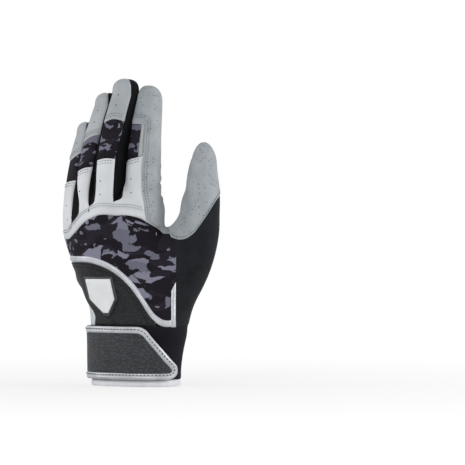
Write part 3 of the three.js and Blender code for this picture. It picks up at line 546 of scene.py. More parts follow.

# %% [markdown]
# Suede is the split side of the hide, brushed so that it has a short nap and no shine. This one
# has scattered pits, a few millimetres apart, pressed in as small dimples and painted darker as
# the shade inside them.

# %% Dimpled suede
def dimpled_suede():
    material, tree, shader, place = start_material(
        "brushed_suede", 0.95, **{"Specular IOR Level": 0.15, "Sheen Weight": 0.12, "Sheen Roughness": 0.6})
    cloud = add_node(tree, "ShaderNodeTexNoise", {"Scale": 1 / (9 * MM), "Detail": 5.0}, {"Vector": place})
    tone = add_node(tree, "ShaderNodeValToRGB", links={"Fac": cloud.outputs["Fac"]},
                    stops=[(0.3, "#9fa5aa"), (0.7, "#afb5b9")])
    pits = add_node(tree, "ShaderNodeTexVoronoi", {"Scale": 1 / (2.9 * MM), "Randomness": 0.7},
                    {"Vector": place})
    # The pits are painted darker towards their middles, as painted shade in the dimples, and the same ramp
    # gives their depth.
    pit_depth_and_shade = add_node(tree, "ShaderNodeValToRGB", links={"Fac": pits.outputs["Distance"]},
                   stops=[(0.1, "#a2a7ab"), (0.27, "#ffffff")])
    both = add_node(tree, "ShaderNodeMix", data_type="RGBA", blend_type="MULTIPLY")
    both.inputs[0].default_value = 0.8
    tree.links.new(tone.outputs["Color"], both.inputs[6])
    tree.links.new(pit_depth_and_shade.outputs["Color"], both.inputs[7])
    tree.links.new(both.outputs[2], shader.inputs["Base Color"])
    nap = add_node(tree, "ShaderNodeTexNoise", {"Scale": 1 / (0.7 * MM), "Detail": 2.0}, {"Vector": place})
    first = add_node(tree, "ShaderNodeBump", {"Strength": 0.6, "Distance": 0.12 * MM},
                     {"Height": nap.outputs["Fac"]})
    second = add_node(tree, "ShaderNodeBump", {"Strength": 0.7, "Distance": 0.3 * MM},
                      {"Height": pit_depth_and_shade.outputs["Color"], "Normal": first.outputs["Normal"]})
    tree.links.new(second.outputs["Normal"], shader.inputs["Normal"])
    return material


suede = dimpled_suede()
print(suede.name)

# %% [markdown]
# The back of the hand and the inserts over the finger joints are stretch cloth, printed with a
# camouflage of torn grey-violet patches on near black. Camouflage is a common pattern, and this
# one is made afresh from random cells, drawn long and torn at their edges by noise.

# %% Printed stretch cloth
def torn_layer(tree, source, cell_mm, stretch, share_dark):
    """Long angular shards: stretched random cells, of which only the brightest are printed."""
    slant = add_node(tree, "ShaderNodeMapping", {"Rotation": (0.0, math.radians(-34), 0.0), "Scale": stretch},
                     {"Vector": source})
    cells = add_node(tree, "ShaderNodeTexVoronoi", {"Scale": 1 / (cell_mm * MM), "Randomness": 1.0},
                     {"Vector": slant.outputs["Vector"]})
    parts = add_node(tree, "ShaderNodeSeparateColor", links={"Color": cells.outputs["Color"]})
    shown = add_node(tree, "ShaderNodeMath", {1: share_dark}, {0: parts.outputs["Red"]},
                     operation="GREATER_THAN")
    return shown, parts


def printed_cloth():
    material, tree, shader, place = start_material(
        "printed_stretch_cloth", 0.8, **{"Specular IOR Level": 0.15})
    flow = add_node(tree, "ShaderNodeTexNoise", {"Scale": 1 / (17 * MM), "Detail": 0.0}, {"Vector": place})
    rough = add_node(tree, "ShaderNodeTexNoise", {"Scale": 1 / (3.2 * MM), "Detail": 3.0}, {"Vector": place})
    bend = add_node(tree, "ShaderNodeVectorMath", {1: (16 * MM,) * 3}, {0: flow.outputs["Color"]},
                    operation="MULTIPLY")
    tear = add_node(tree, "ShaderNodeVectorMath", {1: (3.5 * MM,) * 3}, {0: rough.outputs["Color"]},
                    operation="MULTIPLY")
    bent = add_node(tree, "ShaderNodeVectorMath", links={0: place, 1: bend.outputs["Vector"]},
                    operation="ADD")
    torn = add_node(tree, "ShaderNodeVectorMath",
                    links={0: bent.outputs["Vector"], 1: tear.outputs["Vector"]},
                    operation="ADD")
    large, tones = torn_layer(tree, torn.outputs["Vector"], 6.0, (0.4, 0.6, 1.0), 0.8)
    small, _ = torn_layer(tree, torn.outputs["Vector"], 2.0, (0.4, 0.6, 0.9), 0.93)
    either = add_node(tree, "ShaderNodeMath", links={0: large.outputs["Value"], 1: small.outputs["Value"]},
                      operation="MAXIMUM")
    ground = add_node(tree, "ShaderNodeValToRGB", links={"Fac": tones.outputs["Green"]},
                      stops=[(0.5, "#16131a"), (0.51, "#221f27")])
    patch = add_node(tree, "ShaderNodeValToRGB", links={"Fac": tones.outputs["Blue"]},
                     stops=[(0.35, "#6c6c7b"), (0.75, "#838394")])
    both = add_node(tree, "ShaderNodeMix", data_type="RGBA")
    tree.links.new(either.outputs["Value"], both.inputs[0])
    tree.links.new(ground.outputs["Color"], both.inputs[6])
    tree.links.new(patch.outputs["Color"], both.inputs[7])
    tree.links.new(both.outputs[2], shader.inputs["Base Color"])
    knit = add_node(tree, "ShaderNodeTexVoronoi", {"Scale": 1 / (0.55 * MM), "Randomness": 0.25},
                    {"Vector": place})
    bump = add_node(tree, "ShaderNodeBump", {"Strength": 0.4, "Distance": 0.08 * MM},
                    {"Height": knit.outputs["Distance"]})
    tree.links.new(bump.outputs["Normal"], shader.inputs["Normal"])
    return material


printed = printed_cloth()
print(printed.name)

# %% [markdown]
# The dark cloths differ in their surface only: fine ribbed knit between the fingers, a coarser
# woven mesh at the thumb, and a smooth laminated knit on the cuff. A small bump gives each its
# own way of holding the light. Real knit has finer threads, so their pitch is drawn coarse
# enough to show.

# %% Dark cloths
def dark_cloth(name, low, high, roughness, pitch_mm, depth_mm, order=0.3, sheen=0.0):
    material, tree, shader, place = start_material(
        name, roughness, **{"Specular IOR Level": 0.12, "Sheen Weight": sheen})
    cloud = add_node(tree, "ShaderNodeTexNoise", {"Scale": 1 / (14 * MM), "Detail": 4.0}, {"Vector": place})
    tone = add_node(tree, "ShaderNodeValToRGB", links={"Fac": cloud.outputs["Fac"]},
                    stops=[(0.3, low), (0.7, high)])
    tree.links.new(tone.outputs["Color"], shader.inputs["Base Color"])
    weave = add_node(tree, "ShaderNodeTexVoronoi", {"Scale": 1 / (pitch_mm * MM), "Randomness": order},
                     {"Vector": place})
    bump = add_node(tree, "ShaderNodeBump", {"Strength": 0.6, "Distance": depth_mm * MM},
                    {"Height": weave.outputs["Distance"]})
    tree.links.new(bump.outputs["Normal"], shader.inputs["Normal"])
    return material


side_cloth = dark_cloth("ribbed_side_knit", "#08090a", "#101114", 0.9, 0.7, 0.1)
thumb_cloth = dark_cloth("woven_thumb_mesh", "#181a1d", "#24272b", 0.85, 1.5, 0.25, 0.8, 0.03)
cuff_cloth = dark_cloth("laminated_cuff_knit", "#0c0c13", "#12121b", 0.7, 0.6, 0.04, 0.2)
fastener_cloth = dark_cloth("hook_and_loop", "#0d0e0f", "#1a1b1d", 1.0, 0.9, 0.4, 1.0)
elastic_cloth = dark_cloth("elastic_webbing", "#0d0d10", "#17171a", 0.85, 1.0, 0.2)
print(side_cloth.name, thumb_cloth.name, cuff_cloth.name, fastener_cloth.name, elastic_cloth.name)

# %% [markdown]
# The wrist panel and the tab are embossed leather: flat plates a few millimetres wide between
# creases that run mostly across the hand. Voronoi cells give the plates, and the distance to
# their edges gives the creases. The creases are painted darker, as shade, and the crowns of the
# plates lighter, as a painted highlight.

# %% Crackle leather
def crackle_leather(name, crease_shade, plate, crown, depth_mm, gloss):
    material, tree, shader, place = start_material(name, 0.5, **{"Specular IOR Level": gloss})
    warp = add_node(tree, "ShaderNodeTexNoise", {"Scale": 1 / (5 * MM), "Detail": 2.0}, {"Vector": place})
    shake = add_node(tree, "ShaderNodeVectorMath", {1: (1.6 * MM,) * 3}, {0: warp.outputs["Color"]},
                     operation="MULTIPLY")
    moved = add_node(tree, "ShaderNodeVectorMath", links={0: place, 1: shake.outputs["Vector"]},
                     operation="ADD")
    stretch = add_node(tree, "ShaderNodeMapping", {"Scale": (0.8, 0.8, 1.35)},
                       {"Vector": moved.outputs["Vector"]})
    plates = add_node(tree, "ShaderNodeTexVoronoi", {"Scale": 1 / (3.6 * MM), "Randomness": 1.0},
                      {"Vector": stretch.outputs["Vector"]}, feature="DISTANCE_TO_EDGE")
    crease = add_node(tree, "ShaderNodeValToRGB", links={"Fac": plates.outputs["Distance"]},
                      stops=[(0.0, "#404040"), (0.07, "#c0c0c0"), (0.24, "#ffffff")])
    # Painted shade in the creases and a painted highlight on the plates' crowns, following the bump.
    tone = add_node(tree, "ShaderNodeValToRGB", links={"Fac": crease.outputs["Color"]},
                    stops=[(0.0, crease_shade), (0.55, plate), (1.0, crown)])
    tree.links.new(tone.outputs["Color"], shader.inputs["Base Color"])
    fine = add_node(tree, "ShaderNodeTexVoronoi", {"Scale": 1 / (0.9 * MM)}, {"Vector": place})
    first = add_node(tree, "ShaderNodeBump", {"Strength": 0.5, "Distance": 0.08 * MM},
                     {"Height": fine.outputs["Distance"]})
    second = add_node(tree, "ShaderNodeBump", {"Strength": 0.8, "Distance": depth_mm * MM},
                      {"Height": crease.outputs["Color"], "Normal": first.outputs["Normal"]})
    tree.links.new(second.outputs["Normal"], shader.inputs["Normal"])
    return material


crackle = crackle_leather("embossed_crackle_leather", "#1d1f21", "#303337", "#393d41", 0.35, 0.3)
wrist_crackle = crackle_leather("fine_crackle_leather", "#0d0e10", "#1a1b1e", "#212326", 0.25, 0.22)
print(crackle.name, wrist_crackle.name)

# %% [markdown]
# Trims and bindings are synthetic leather with a silver foil coat, so part metal, with a soft
# grain. The hem's foil is painted paler than the trims, as painted light on the hem roll, and the
# index finger's edge is a duller satin ribbon. Threads are polyester, the grey thread darkened as
# painted shade of the hollow each stitch sinks into, the badge is moulded rubber, and the dark dots
# are painted shade standing for small holes.

# %% Silver foil, thread, rubber and the painted shade of holes
def plain_finish(name, low, high, roughness, grain_mm, depth_mm, **sockets):
    material, tree, shader, place = start_material(name, roughness, **sockets)
    cloud = add_node(tree, "ShaderNodeTexNoise", {"Scale": 1 / (7 * MM), "Detail": 3.0}, {"Vector": place})
    tone = add_node(tree, "ShaderNodeValToRGB", links={"Fac": cloud.outputs["Fac"]},
                    stops=[(0.3, low), (0.7, high)])
    tree.links.new(tone.outputs["Color"], shader.inputs["Base Color"])
    grain = add_node(tree, "ShaderNodeTexNoise", {"Scale": 1 / (grain_mm * MM), "Detail": 2.0},
                     {"Vector": place})
    bump = add_node(tree, "ShaderNodeBump", {"Strength": 0.5, "Distance": depth_mm * MM},
                    {"Height": grain.outputs["Fac"]})
    tree.links.new(bump.outputs["Normal"], shader.inputs["Normal"])
    return material


silver = plain_finish("silver_foil_leather", "#b0b3b8", "#c6c9ce", 0.38, 1.1, 0.06, Metallic=0.25)
# The hem's silver is painted paler than the trims' silver, as painted light on the hem roll.
hem_silver_painted_light = plain_finish("silver_foil_leather_painted_light", "#e4e6ea", "#f2f3f6", 0.42, 1.1, 0.05)
satin = plain_finish("grey_satin_ribbon", "#8f9492", "#a0a4a3", 0.42, 1.1, 0.04, Metallic=0.15)
# The grey thread is darkened, as painted shade of the hollow that each stitch sinks into.
thread_darkened_as_shade = plain_finish("grey_thread_darkened_as_shade", "#63686e", "#757a80", 0.7, 0.3, 0.03)
black_thread = plain_finish("black_polyester_thread", "#050506", "#0a0a0b", 0.9, 0.3, 0.03)
dark_thread = plain_finish("dark_polyester_thread", "#1b1d21", "#282a2e", 0.7, 0.3, 0.03)
rubber = plain_finish("moulded_white_rubber", "#dfe2e4", "#e9ebed", 0.45, 1.4, 0.03)
dark_rubber = plain_finish("moulded_dark_rubber", "#212326", "#2d2f33", 0.5, 1.4, 0.03)
# The holes are flat dark discs, painted as the shade inside each hole.
hole_shade_disc = plain_finish("punched_hole_shade", "#0b0c0d", "#121314", 0.95, 0.4, 0.02)
print(silver.name, thread_darkened_as_shade.name, rubber.name)

# %% [markdown]
# ## From a patch to a sewn panel
#
# A panel's grid is laid flat with one grid operator. Its points are then moved on to the skin,
# spread evenly between the two side seams, and pressed down near each seam as a sewn edge is.
# The thickness comes last, inwards, so the skin keeps its size.

# %% Solve a patch
settle_turns = 40
even_turns = 2


def solve_patch(chart, borders, columns, rows):
    left, right, bottom, top = borders
    b, a = np.meshgrid(np.linspace(0, 1, rows + 1), np.linspace(0, 1, columns + 1), indexing="ij")
    middle = (left.start + right.start) / 2
    first = float(np.ravel(bottom(np.array([middle])) + top(np.array([middle])))[0]) / 2
    angle = left.at(first) * (1 - a) + right.at(first) * a
    height = np.full(a.shape, first)
    for _ in range(settle_turns):
        height = (height + bottom(angle) * (1 - b) + top(angle) * b) / 2
        angle = left.at(height) * (1 - a) + right.at(height) * a
    for _ in range(even_turns):
        place = chart.surface(angle.ravel(), height.ravel()).reshape(*a.shape, 3)
        run = run_along(place, 1)
        share = run / run[:, -1:]
        for j in range(rows + 1):
            even = np.interp(a[j], share[j], a[j])
            angle[j] = np.interp(even, a[j], angle[j].copy())
            height[j] = np.interp(even, a[j], height[j].copy())
    return angle, height


def run_along(place, axis):
    steps = np.linalg.norm(np.diff(place, axis=axis), axis=2)
    start = np.zeros_like(place.take([0], axis=axis)[..., 0])
    return np.concatenate([start, np.cumsum(steps, axis=axis)], axis=axis)


# %% Soft creases in the leather
rng = np.random.default_rng(7)
crease_waves = [(rng.normal(size=3), rng.uniform(0, 2 * math.pi)) for _ in range(7)]
crease_bend = 1.3
crease_bend_size = 1.7


def crumple(place, size_mm):
    total = 0
    for way, phase in crease_waves:
        bend = np.sin(place @ way[::-1] / (crease_bend_size * size_mm))
        total = total + np.sin(place @ (way / size_mm) + phase + crease_bend * bend)
    return total / len(crease_waves)


# %% Edge profiles
fade_run = 3.0


def lay_panel(chart, borders, columns, rows, lift=0.0, drop=0.5, reach=1.6, flush=(),
              crease=0.25, crease_mm=9.0, patch=None, fade=None, ripple=None):
    angle, height = patch if patch else solve_patch(chart, borders, columns, rows)
    place = chart.surface(angle.ravel(), height.ravel())
    normal = normals_of(chart.field, place).reshape(*angle.shape, 3)
    place = place.reshape(*angle.shape, 3)
    across, up = run_along(place, 1), run_along(place, 0)
    distance = {"left": across, "right": across[:, -1:] - across, "low": up, "high": up[-1:] - up}
    pressed = np.zeros(angle.shape)
    for side, gap in distance.items():
        if side not in flush:
            edge = (1 - np.clip(gap / reach, 0, 1)) ** 2
            if fade and side in fade:
                start, stop = fade[side]
                below = np.clip((height - start) / fade_run, 0, 1)
                above = np.clip((stop - height) / fade_run, 0, 1)
                edge = edge * below * above
            pressed = np.maximum(pressed, edge)
    offset = lift - drop * pressed
    offset = offset + crease * crumple(place, crease_mm) * np.clip(1 - pressed, 0, 1)
    if ripple:
        offset = offset + ripple(np.degrees(angle), height)
    return {"skin": place + normal * offset[..., None], "normal": normal, "distance": distance}


# %% Make the mesh of a panel
sharp_angle = math.radians(48)
join_mm = 0.02
def add_place(mesh):
    points = np.empty(len(mesh.vertices) * 3, np.float32)
    mesh.vertices.foreach_get("co", points)
    mesh.attributes.new("place", "FLOAT_VECTOR", "POINT").data.foreach_set("vector", points)


def mesh_object(name, bm, material):
    mesh = bpy.data.meshes.new(name)
    bm.to_mesh(mesh)
    bm.free()
    mesh.shade_smooth()
    mesh.set_sharp_from_angle(angle=sharp_angle)
    add_place(mesh)
    mesh.materials.append(material)
    piece = bpy.data.objects.new(name, mesh)
    scene.collection.objects.link(piece)
    return piece


def cut_panel(name, laid, thickness, material, closed=False):
    rows, columns = (n - 1 for n in laid["skin"].shape[:2])
    spots = (laid["skin"] + shift) * MM
    bm = bmesh.new()
    bmesh.ops.create_grid(bm, x_segments=columns, y_segments=rows, size=1)
    for vertex in bm.verts:
        i = round((vertex.co.x + 1) / 2 * columns)
        j = round((vertex.co.y + 1) / 2 * rows)
        vertex.co = spots[j, i]
    if closed:
        bmesh.ops.remove_doubles(bm, verts=bm.verts[:], dist=join_mm * MM)
    bmesh.ops.solidify(bm, geom=bm.faces[:], thickness=thickness * MM)
    bmesh.ops.recalc_face_normals(bm, faces=bm.faces[:])
    return mesh_object(name, bm, material)


# %% [markdown]
# A piece that crosses no joint rides on one body. A piece over a joint is given the two ends
# of that joint, but is only baked in place and rides on no body, so it does not bend. Each piece
# also stands for its plain solids from the frame, which it hides.

# %% Fasten a piece to the frame
def carried_by(body):
    return lambda piece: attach(piece, body)


def bends_between(start, end):
    start, end = ((np.array(point) + shift) * MM for point in (start, end))
    return lambda piece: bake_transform(piece)


pieces_made = []


def fasten(piece, carry, nodes=()):
    carry(piece)
    if nodes:
        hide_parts(*nodes)
    pieces_made.append(piece.name)


def sew_on(name, laid, thickness, material, carry, nodes=(), closed=False):
    fasten(cut_panel(name, laid, thickness, material, closed), carry, nodes)


on_hand = carried_by("hand")

# %% How thick each layer is, in millimetres
leather_thickness = 1.2
palm_thickness = 1.1
cloth_thickness = 0.9
finger_side_thickness = 1.0
trim_thickness = 1.4
pad_thickness = 0.8

# %% [markdown]
# Stitches are short capsules of thread, laid along a line at a fixed distance from a seam, and a
# hole is a flat dark disc, painted as the shade inside the hole. Each row is one mesh and moves with the
# leather under it.

# %% Lines beside a seam, stitches and holes
def line_beside(laid, side, inset, span=(0.0, 1.0)):
    distance, skin, normal = laid["distance"][side], laid["skin"], laid["normal"]
    if side in ("low", "high"):
        distance, skin, normal = distance.T, skin.transpose(1, 0, 2), normal.transpose(1, 0, 2)
    flip = slice(None, None, -1) if side in ("right", "high") else slice(None)
    points, ways = [], []
    for gaps, spots, turns in zip(distance, skin, normal):
        gaps, spots, turns = gaps[flip], spots[flip], turns[flip]
        points.append([np.interp(inset, gaps, spots[:, k]) for k in range(3)])
        ways.append([np.interp(inset, gaps, turns[:, k]) for k in range(3)])
    first, last = (round(share * (len(points) - 1)) for share in span)
    return np.array(points)[first:last + 1], np.array(ways)[first:last + 1]


def line_over(chart, angles, heights, lift):
    spots = chart.surface(angles, heights)
    ways = normals_of(chart.field, spots)
    return spots + ways * lift, ways


def sew(name, lines, material, carry, pitch=2.2, length=1.6, width=0.56, sink=0.12):
    bm = bmesh.new()
    for points, ways in lines:
        run = np.concatenate([[0], np.cumsum(np.linalg.norm(np.diff(points, axis=0), axis=1))])
        count = int(run[-1] / pitch)
        for k in range(count):
            centre = (k + 0.5) * pitch
            near, far = centre - length / 2, centre + length / 2
            ends = [np.array([np.interp(s, run, points[:, c]) for c in range(3)]) for s in (near, far)]
            up = np.array([np.interp((near + far) / 2, run, ways[:, c]) for c in range(3)])
            along = ends[1] - ends[0]
            along /= np.linalg.norm(along)
            up = up - along * (up @ along)
            up /= np.linalg.norm(up)
            middle = ((ends[0] + ends[1]) / 2 + up * (width / 2 - sink) + shift) * MM
            turn = Matrix(np.array([along, np.cross(up, along), up]).T.tolist()).to_4x4()
            size = Matrix.Diagonal((length / 2 * MM, width / 2 * MM, width / 2 * MM, 1))
            bmesh.ops.create_uvsphere(bm, u_segments=6, v_segments=5, radius=1,
                                      matrix=Matrix.Translation(middle) @ turn @ size)
    fasten(mesh_object(name, bm, material), carry)


def punch(name, laid, spots, carry, radius=0.55, depth=0.12):
    skin = laid["skin"].reshape(-1, 3)
    normal = laid["normal"].reshape(-1, 3)
    size = Matrix.Diagonal((radius * MM, radius * MM, depth * MM, 1))
    bm = bmesh.new()
    for across, height in spots:
        k = np.argmin(np.hypot(across_of(skin) - across, skin[:, 2] - height))
        turn = Vector(normal[k]).to_track_quat("Z", "Y").to_matrix().to_4x4()
        place = Matrix.Translation((skin[k] + shift) * MM) @ turn @ size
        bmesh.ops.create_uvsphere(bm, u_segments=14, v_segments=6, radius=1, matrix=place)
    fasten(mesh_object(name, bm, hole_shade_disc), carry)


# %% [markdown]
# ## Seams of the hand
#
# The seams are read off the photograph as the viewer sees them: how far across, and how high.
# Each is then carried on to the skin by a search along the chart. Only the outer seam, which runs
# round the edge of the hand, is given by its angle.

# %% Seam lines
outer_seam = through_curve([(tall(z), math.radians(degrees)) for z, degrees in [
    (0.19, -46), (0.245, -44), (0.28, -60), (0.33, -86), (0.4, -94), (0.65, -95)]])
band_edge = through_curve([(wide(u), tall(z)) for u, z in [
    (-0.511, 0.48), (-0.45, 0.509), (-0.407, 0.53), (-0.287, 0.56), (-0.137, 0.561), (-0.016, 0.559),
    (0.094, 0.541), (0.113, 0.534)]])
suede_edge = through_curve([(wide(u), tall(z)) for u, z in [
    (0.094, 0.541), (0.222, 0.509), (0.321, 0.484), (0.373, 0.482), (0.462, 0.501), (0.552, 0.55),
    (0.658, 0.619), (0.8, 0.66)]])
trim_line = through_curve([(wide(u), tall(z)) for u, z in [
    (-0.5, 0.414), (-0.325, 0.412), (-0.24, 0.401), (-0.155, 0.383), (-0.07, 0.355), (0.015, 0.316),
    (0.082, 0.274), (0.141, 0.238), (0.219, 0.213), (0.33, 0.21)]])
crotch_angle = 106
crotch_height = tall(0.51)
thumb_crotch_angle = -92
suede_seam = through_curve([(tall(z), wide(u)) for z, u in [
    (0.5, 0.094), (0.55, 0.094), (0.58, 0.084), (0.6, 0.075)]])


def hand_across(value, low, high):
    def angles(height):
        return angle_where(hand_chart, height, lambda p: across_of(p) - value(p[:, 2]), low, high)

    return angles


def seam_over(chart, line):
    return lambda angle: height_where(chart, angle, lambda p: line(across_of(p)))


outer_border = Side(-90, cuff_top, hand_top, outer_seam)
thumb_side = Side(60, cuff_top, hand_top, hand_across(thumb_seam, -40, crotch_angle))
suede_border = Side(25, cuff_top, hand_top, hand_across(suede_seam, -40, 95))
hand_cut = over_angles(-180, 360, lambda angle: height_where(hand_chart, angle, finger_cut))
band_line = over_angles(-180, 180, seam_over(hand_chart, band_edge))
suede_line = over_angles(-180, 180, seam_over(hand_chart, suede_edge))
print("the outer seam runs from", np.degrees(outer_border.at([60, 110])).round(1), "degrees")

# %% [markdown]
# ## The back of the hand
#
# A light leather band crosses the knuckles. Its lower edge is folded over as a binding, so it is
# made as two panels: the band, and a narrow padded roll below it.

# %% Knuckle band and its folded binding
binding_thickness = 1.3
knuckle_rows = (1.2, 3.0)
roll_width = through_rows([(-95, 0.6), (-60, 2.4), (-20, 5.2), (30, 4.4)])
roll_line = over_angles(-180, 180, lambda angle: band_line(angle) + roll_width(np.degrees(angle)))
band = lay_panel(hand_chart, (outer_border, suede_border, roll_line, hand_cut), 90, 12, lift=0.25,
                 flush=("high",), crease=0.15)
sew_on("knuckle_leather", band, leather_thickness, white_leather, on_hand, ["knuckle_band"])
roll = lay_panel(hand_chart, (outer_border, suede_border, band_line, roll_line), 90, 10, lift=0.9, drop=1.3,
                 reach=1.7, crease=0.1)
sew_on("knuckle_binding", roll, binding_thickness, white_leather, on_hand)
band_turns = np.linspace(math.radians(-78), float(suede_border.at(tall(0.57))) - math.radians(2), 80)
band_rows = [line_over(hand_chart, band_turns, roll_line(band_turns) + inset, 0.4) for inset in knuckle_rows]
sew("knuckle_stitches", band_rows, thread_darkened_as_shade, on_hand)
print("band and binding made")

# %% [markdown]
# The suede between the index finger and the thumb is one piece on the real glove. It is laid here
# in two patches that meet flush in the crotch, one on the palm's chart and one on the thumb's.

# %% Suede at the index finger's root
trunk_notch = over_angles(45, 180, lambda angle: notch_top(hand_chart, angle, lambda p: past_seam(p) > 0))
index_palm_edge = 128
index_side_start = 45


def side_suede_low(angle):
    low = suede_line(angle)
    notch = trunk_notch(angle)
    both = np.where(angle > math.radians(crotch_angle), notch, np.maximum(low, notch))
    return np.where(angle < math.radians(index_side_start), low, both)


side_suede_bottom = over_angles(-20, 180, side_suede_low)
side_borders = (suede_border, Side(index_palm_edge), side_suede_bottom, hand_cut)
side_suede = lay_panel(hand_chart, side_borders, 70, 22, lift=0.35, flush=("high", "low"), crease=0.3)
sew_on("index_root_suede", side_suede, leather_thickness, suede, on_hand, ["index_side_suede"])
print("suede at the index finger's root made")

# %% [markdown]
# The printed cloth lies between the knuckle band, the outer seam, the thumb seam and the silver
# trim. It is the calmest surface of the glove, a little slack, so its creases are long.

# %% Printed back panel
trim_width = 3.6
short_trim_top = tall(0.342)
index_root_height = tall(0.541)
cuff_gap = 0.1
trim_gap = 0.15


def upper_back_line(angle):
    reach = across_of(hand_chart.surface(angle, np.full(len(angle), index_root_height)))
    return np.where(reach < suede_seam(index_root_height), band_line(angle), suede_line(angle))


def beside_trim(shift_up):
    def line(across):
        slope = (trim_line(across + trim_width) - trim_line(across - trim_width)) / (2 * trim_width)
        return np.maximum(cuff_top + trim_gap, trim_line(across) + shift_up * np.hypot(1, slope))

    return line


upper_back = over_angles(-180, 180, upper_back_line)
trim_upper = over_angles(-180, 120, seam_over(hand_chart, beside_trim(trim_width / 2)))
trim_lower = over_angles(-180, 120, seam_over(hand_chart, beside_trim(-trim_width / 2)))


def short_trim_side(height):
    return thumb_seam(height) - trim_width * np.clip((short_trim_top - height) / (2 * trim_width), 0, 1)


back_right = Side(60, cuff_top, hand_top, hand_across(short_trim_side, -40, crotch_angle))
back = lay_panel(hand_chart, (outer_border, back_right, trim_upper, upper_back), 90, 60, drop=0.45,
                 reach=2.2, crease=0.45, crease_mm=13)
sew_on("printed_back", back, cloth_thickness, printed, on_hand, ["back_panel"])
print("printed back made")

# %% [markdown]
# Both trims are narrow strips of foil leather with rounded edges. Their profile is a full crown,
# which catches a line of light along the strip.

# %% Silver trims
long_trim = lay_panel(hand_chart, (outer_border, back_right, trim_lower, trim_upper), 120, 8, lift=0.8,
                      drop=0.8, reach=2.0, crease=0.05)
sew_on("long_silver_trim", long_trim, trim_thickness, silver, on_hand, ["long_trim"])
short_borders = (back_right, thumb_side, level(cuff_top + cuff_gap), level(short_trim_top - 1))
short_trim = lay_panel(hand_chart, short_borders, 6, 40, lift=0.8, drop=0.8, reach=1.7, crease=0.05)
sew_on("short_silver_trim", short_trim, trim_thickness, silver, on_hand, ["short_trim"])
print("trims are", trim_width, "mm wide")

# %% [markdown]
# The wrist panel is padded crackle leather. Two rows of black thread follow the trim.

# %% Wrist panel
panel_lines = (2.2, 4.2)
panel_thickness = 1.5
wrist_right = Side(30, cuff_top, hand_top, hand_across(lambda z: wide(0.175), -80, 95))
wrist = lay_panel(hand_chart, (outer_border, wrist_right, level(cuff_top + cuff_gap), trim_lower), 110, 70,
                  lift=0.9, drop=1.2, reach=3.0, crease=0.35, crease_mm=11)
sew_on("crackle_wrist_panel", wrist, panel_thickness, wrist_crackle, on_hand, ["wrist_panel"])
panel_rows = []
for inset in panel_lines:
    turns = np.linspace(math.radians(-84), math.radians(40), 110)
    heights = seam_over(hand_chart, beside_trim(-trim_width / 2 - inset))(turns)
    kept = heights > cuff_top + 1
    panel_rows.append(line_over(hand_chart, turns[kept], heights[kept], 0.8))
sew("wrist_panel_stitches", panel_rows, black_thread, on_hand, length=2.0, width=0.9)
print("wrist panel made with", len(panel_rows), "rows of thread")

# %% [markdown]
# The badge is a plain moulded home plate, with no mark on it: a dark base with a rounded edge,
# and a white face set into it.

# %% Moulded badge
badge_height, badge_width, badge_tilt = 30.0, 22.0, math.radians(14)
badge_across, badge_middle = wide(-0.235), tall(0.295)
badge_shoulder, badge_point = 0.45, 0.16
badge_rim = 1.6
base_thickness, face_thickness = 1.6, 1.0


def badge_side(sign, margin):
    def side(height):
        share = np.clip((height - badge_middle) / badge_height + 0.5, 0, 1)
        slant = badge_point + (1 - badge_point) * share / badge_shoulder
        spread = np.where(share > badge_shoulder, 1, slant)
        middle = badge_across - np.tan(badge_tilt) * (height - badge_middle)
        return middle + sign * (badge_width / 2 * spread - margin)

    return side


def badge_panel(margin, lift, drop, reach, columns, rows):
    borders = (
        Side(-60, cuff_top, hand_top, hand_across(badge_side(-1, margin), -120, 40)),
        Side(-20, cuff_top, hand_top, hand_across(badge_side(1, margin), -120, 60)),
        level(badge_middle - badge_height / 2 + margin * 1.6),
        level(badge_middle + badge_height / 2 - margin),
    )
    return lay_panel(hand_chart, borders, columns, rows, lift=lift, drop=drop, reach=reach, crease=0.0)


badge_base = badge_panel(0, 2.3, 0.9, 1.4, 40, 50)
sew_on("badge_base", badge_base, base_thickness, dark_rubber, on_hand, ["badge"])
badge_face = badge_panel(badge_rim, 2.9, 0.7, 1.0, 36, 46)
sew_on("badge_face", badge_face, face_thickness, rubber, on_hand)
print("badge made")

# %% [markdown]
# ## The palm and the thumb
#
# The palm leather is one large soft piece. The thumb has suede in front and above, a woven mesh
# at its side, and palm leather behind.

# %% Palm leather
palm_outer = outer_border.turned(360)


def palm_left_edge(height):
    far = angle_where(hand_chart, height, lambda p: -past_seam(p), crotch_angle, 200)
    return np.maximum(math.radians(index_palm_edge), np.where(height > crotch_height, 0, far))


palm_left = Side(index_palm_edge, cuff_top, hand_top, palm_left_edge)
palm = lay_panel(hand_chart, (palm_left, palm_outer, level(cuff_top + cuff_gap), hand_cut), 110, 100,
                 lift=0.2, flush=("high",), crease=0.6, crease_mm=12)
sew_on("palm_leather_panel", palm, palm_thickness, palm_leather, on_hand, ["palm_leather"])
print("palm leather made")

# %% Side, suede and palm leather of the thumb
thumb_joint = tall(0.65)
thumb_edge_angle, thumb_far_angle = 118, 230
thumb_edge, thumb_inner = Side(thumb_edge_angle), Side(-130)


def thumb_across(low, high):
    return lambda height: angle_where(thumb_chart, height, past_seam, low, high)


thumb_back = Side(-40, cuff_top, hand_top, thumb_across(thumb_crotch_angle, 100))
thumb_suede_line = over_angles(-180, 180, seam_over(thumb_chart, suede_edge))
thumb_panel = lay_panel(thumb_chart, (thumb_back, thumb_edge, level(cuff_top + cuff_gap), thumb_suede_line),
                        70, 90, drop=0.45, reach=2.0, crease=0.4, crease_mm=13)
sew_on("thumb_mesh_side", thumb_panel, cloth_thickness, thumb_cloth, on_hand, ["thumb_side_panel"])


def thumb_suede_low(angle):
    line = thumb_suede_line(angle)
    notch = notch_top(thumb_chart, angle, lambda p: past_seam(p) < 0)
    both = np.where(angle < math.radians(thumb_crotch_angle), notch, np.maximum(line, notch))
    return np.where(angle > math.radians(-20), line, both)


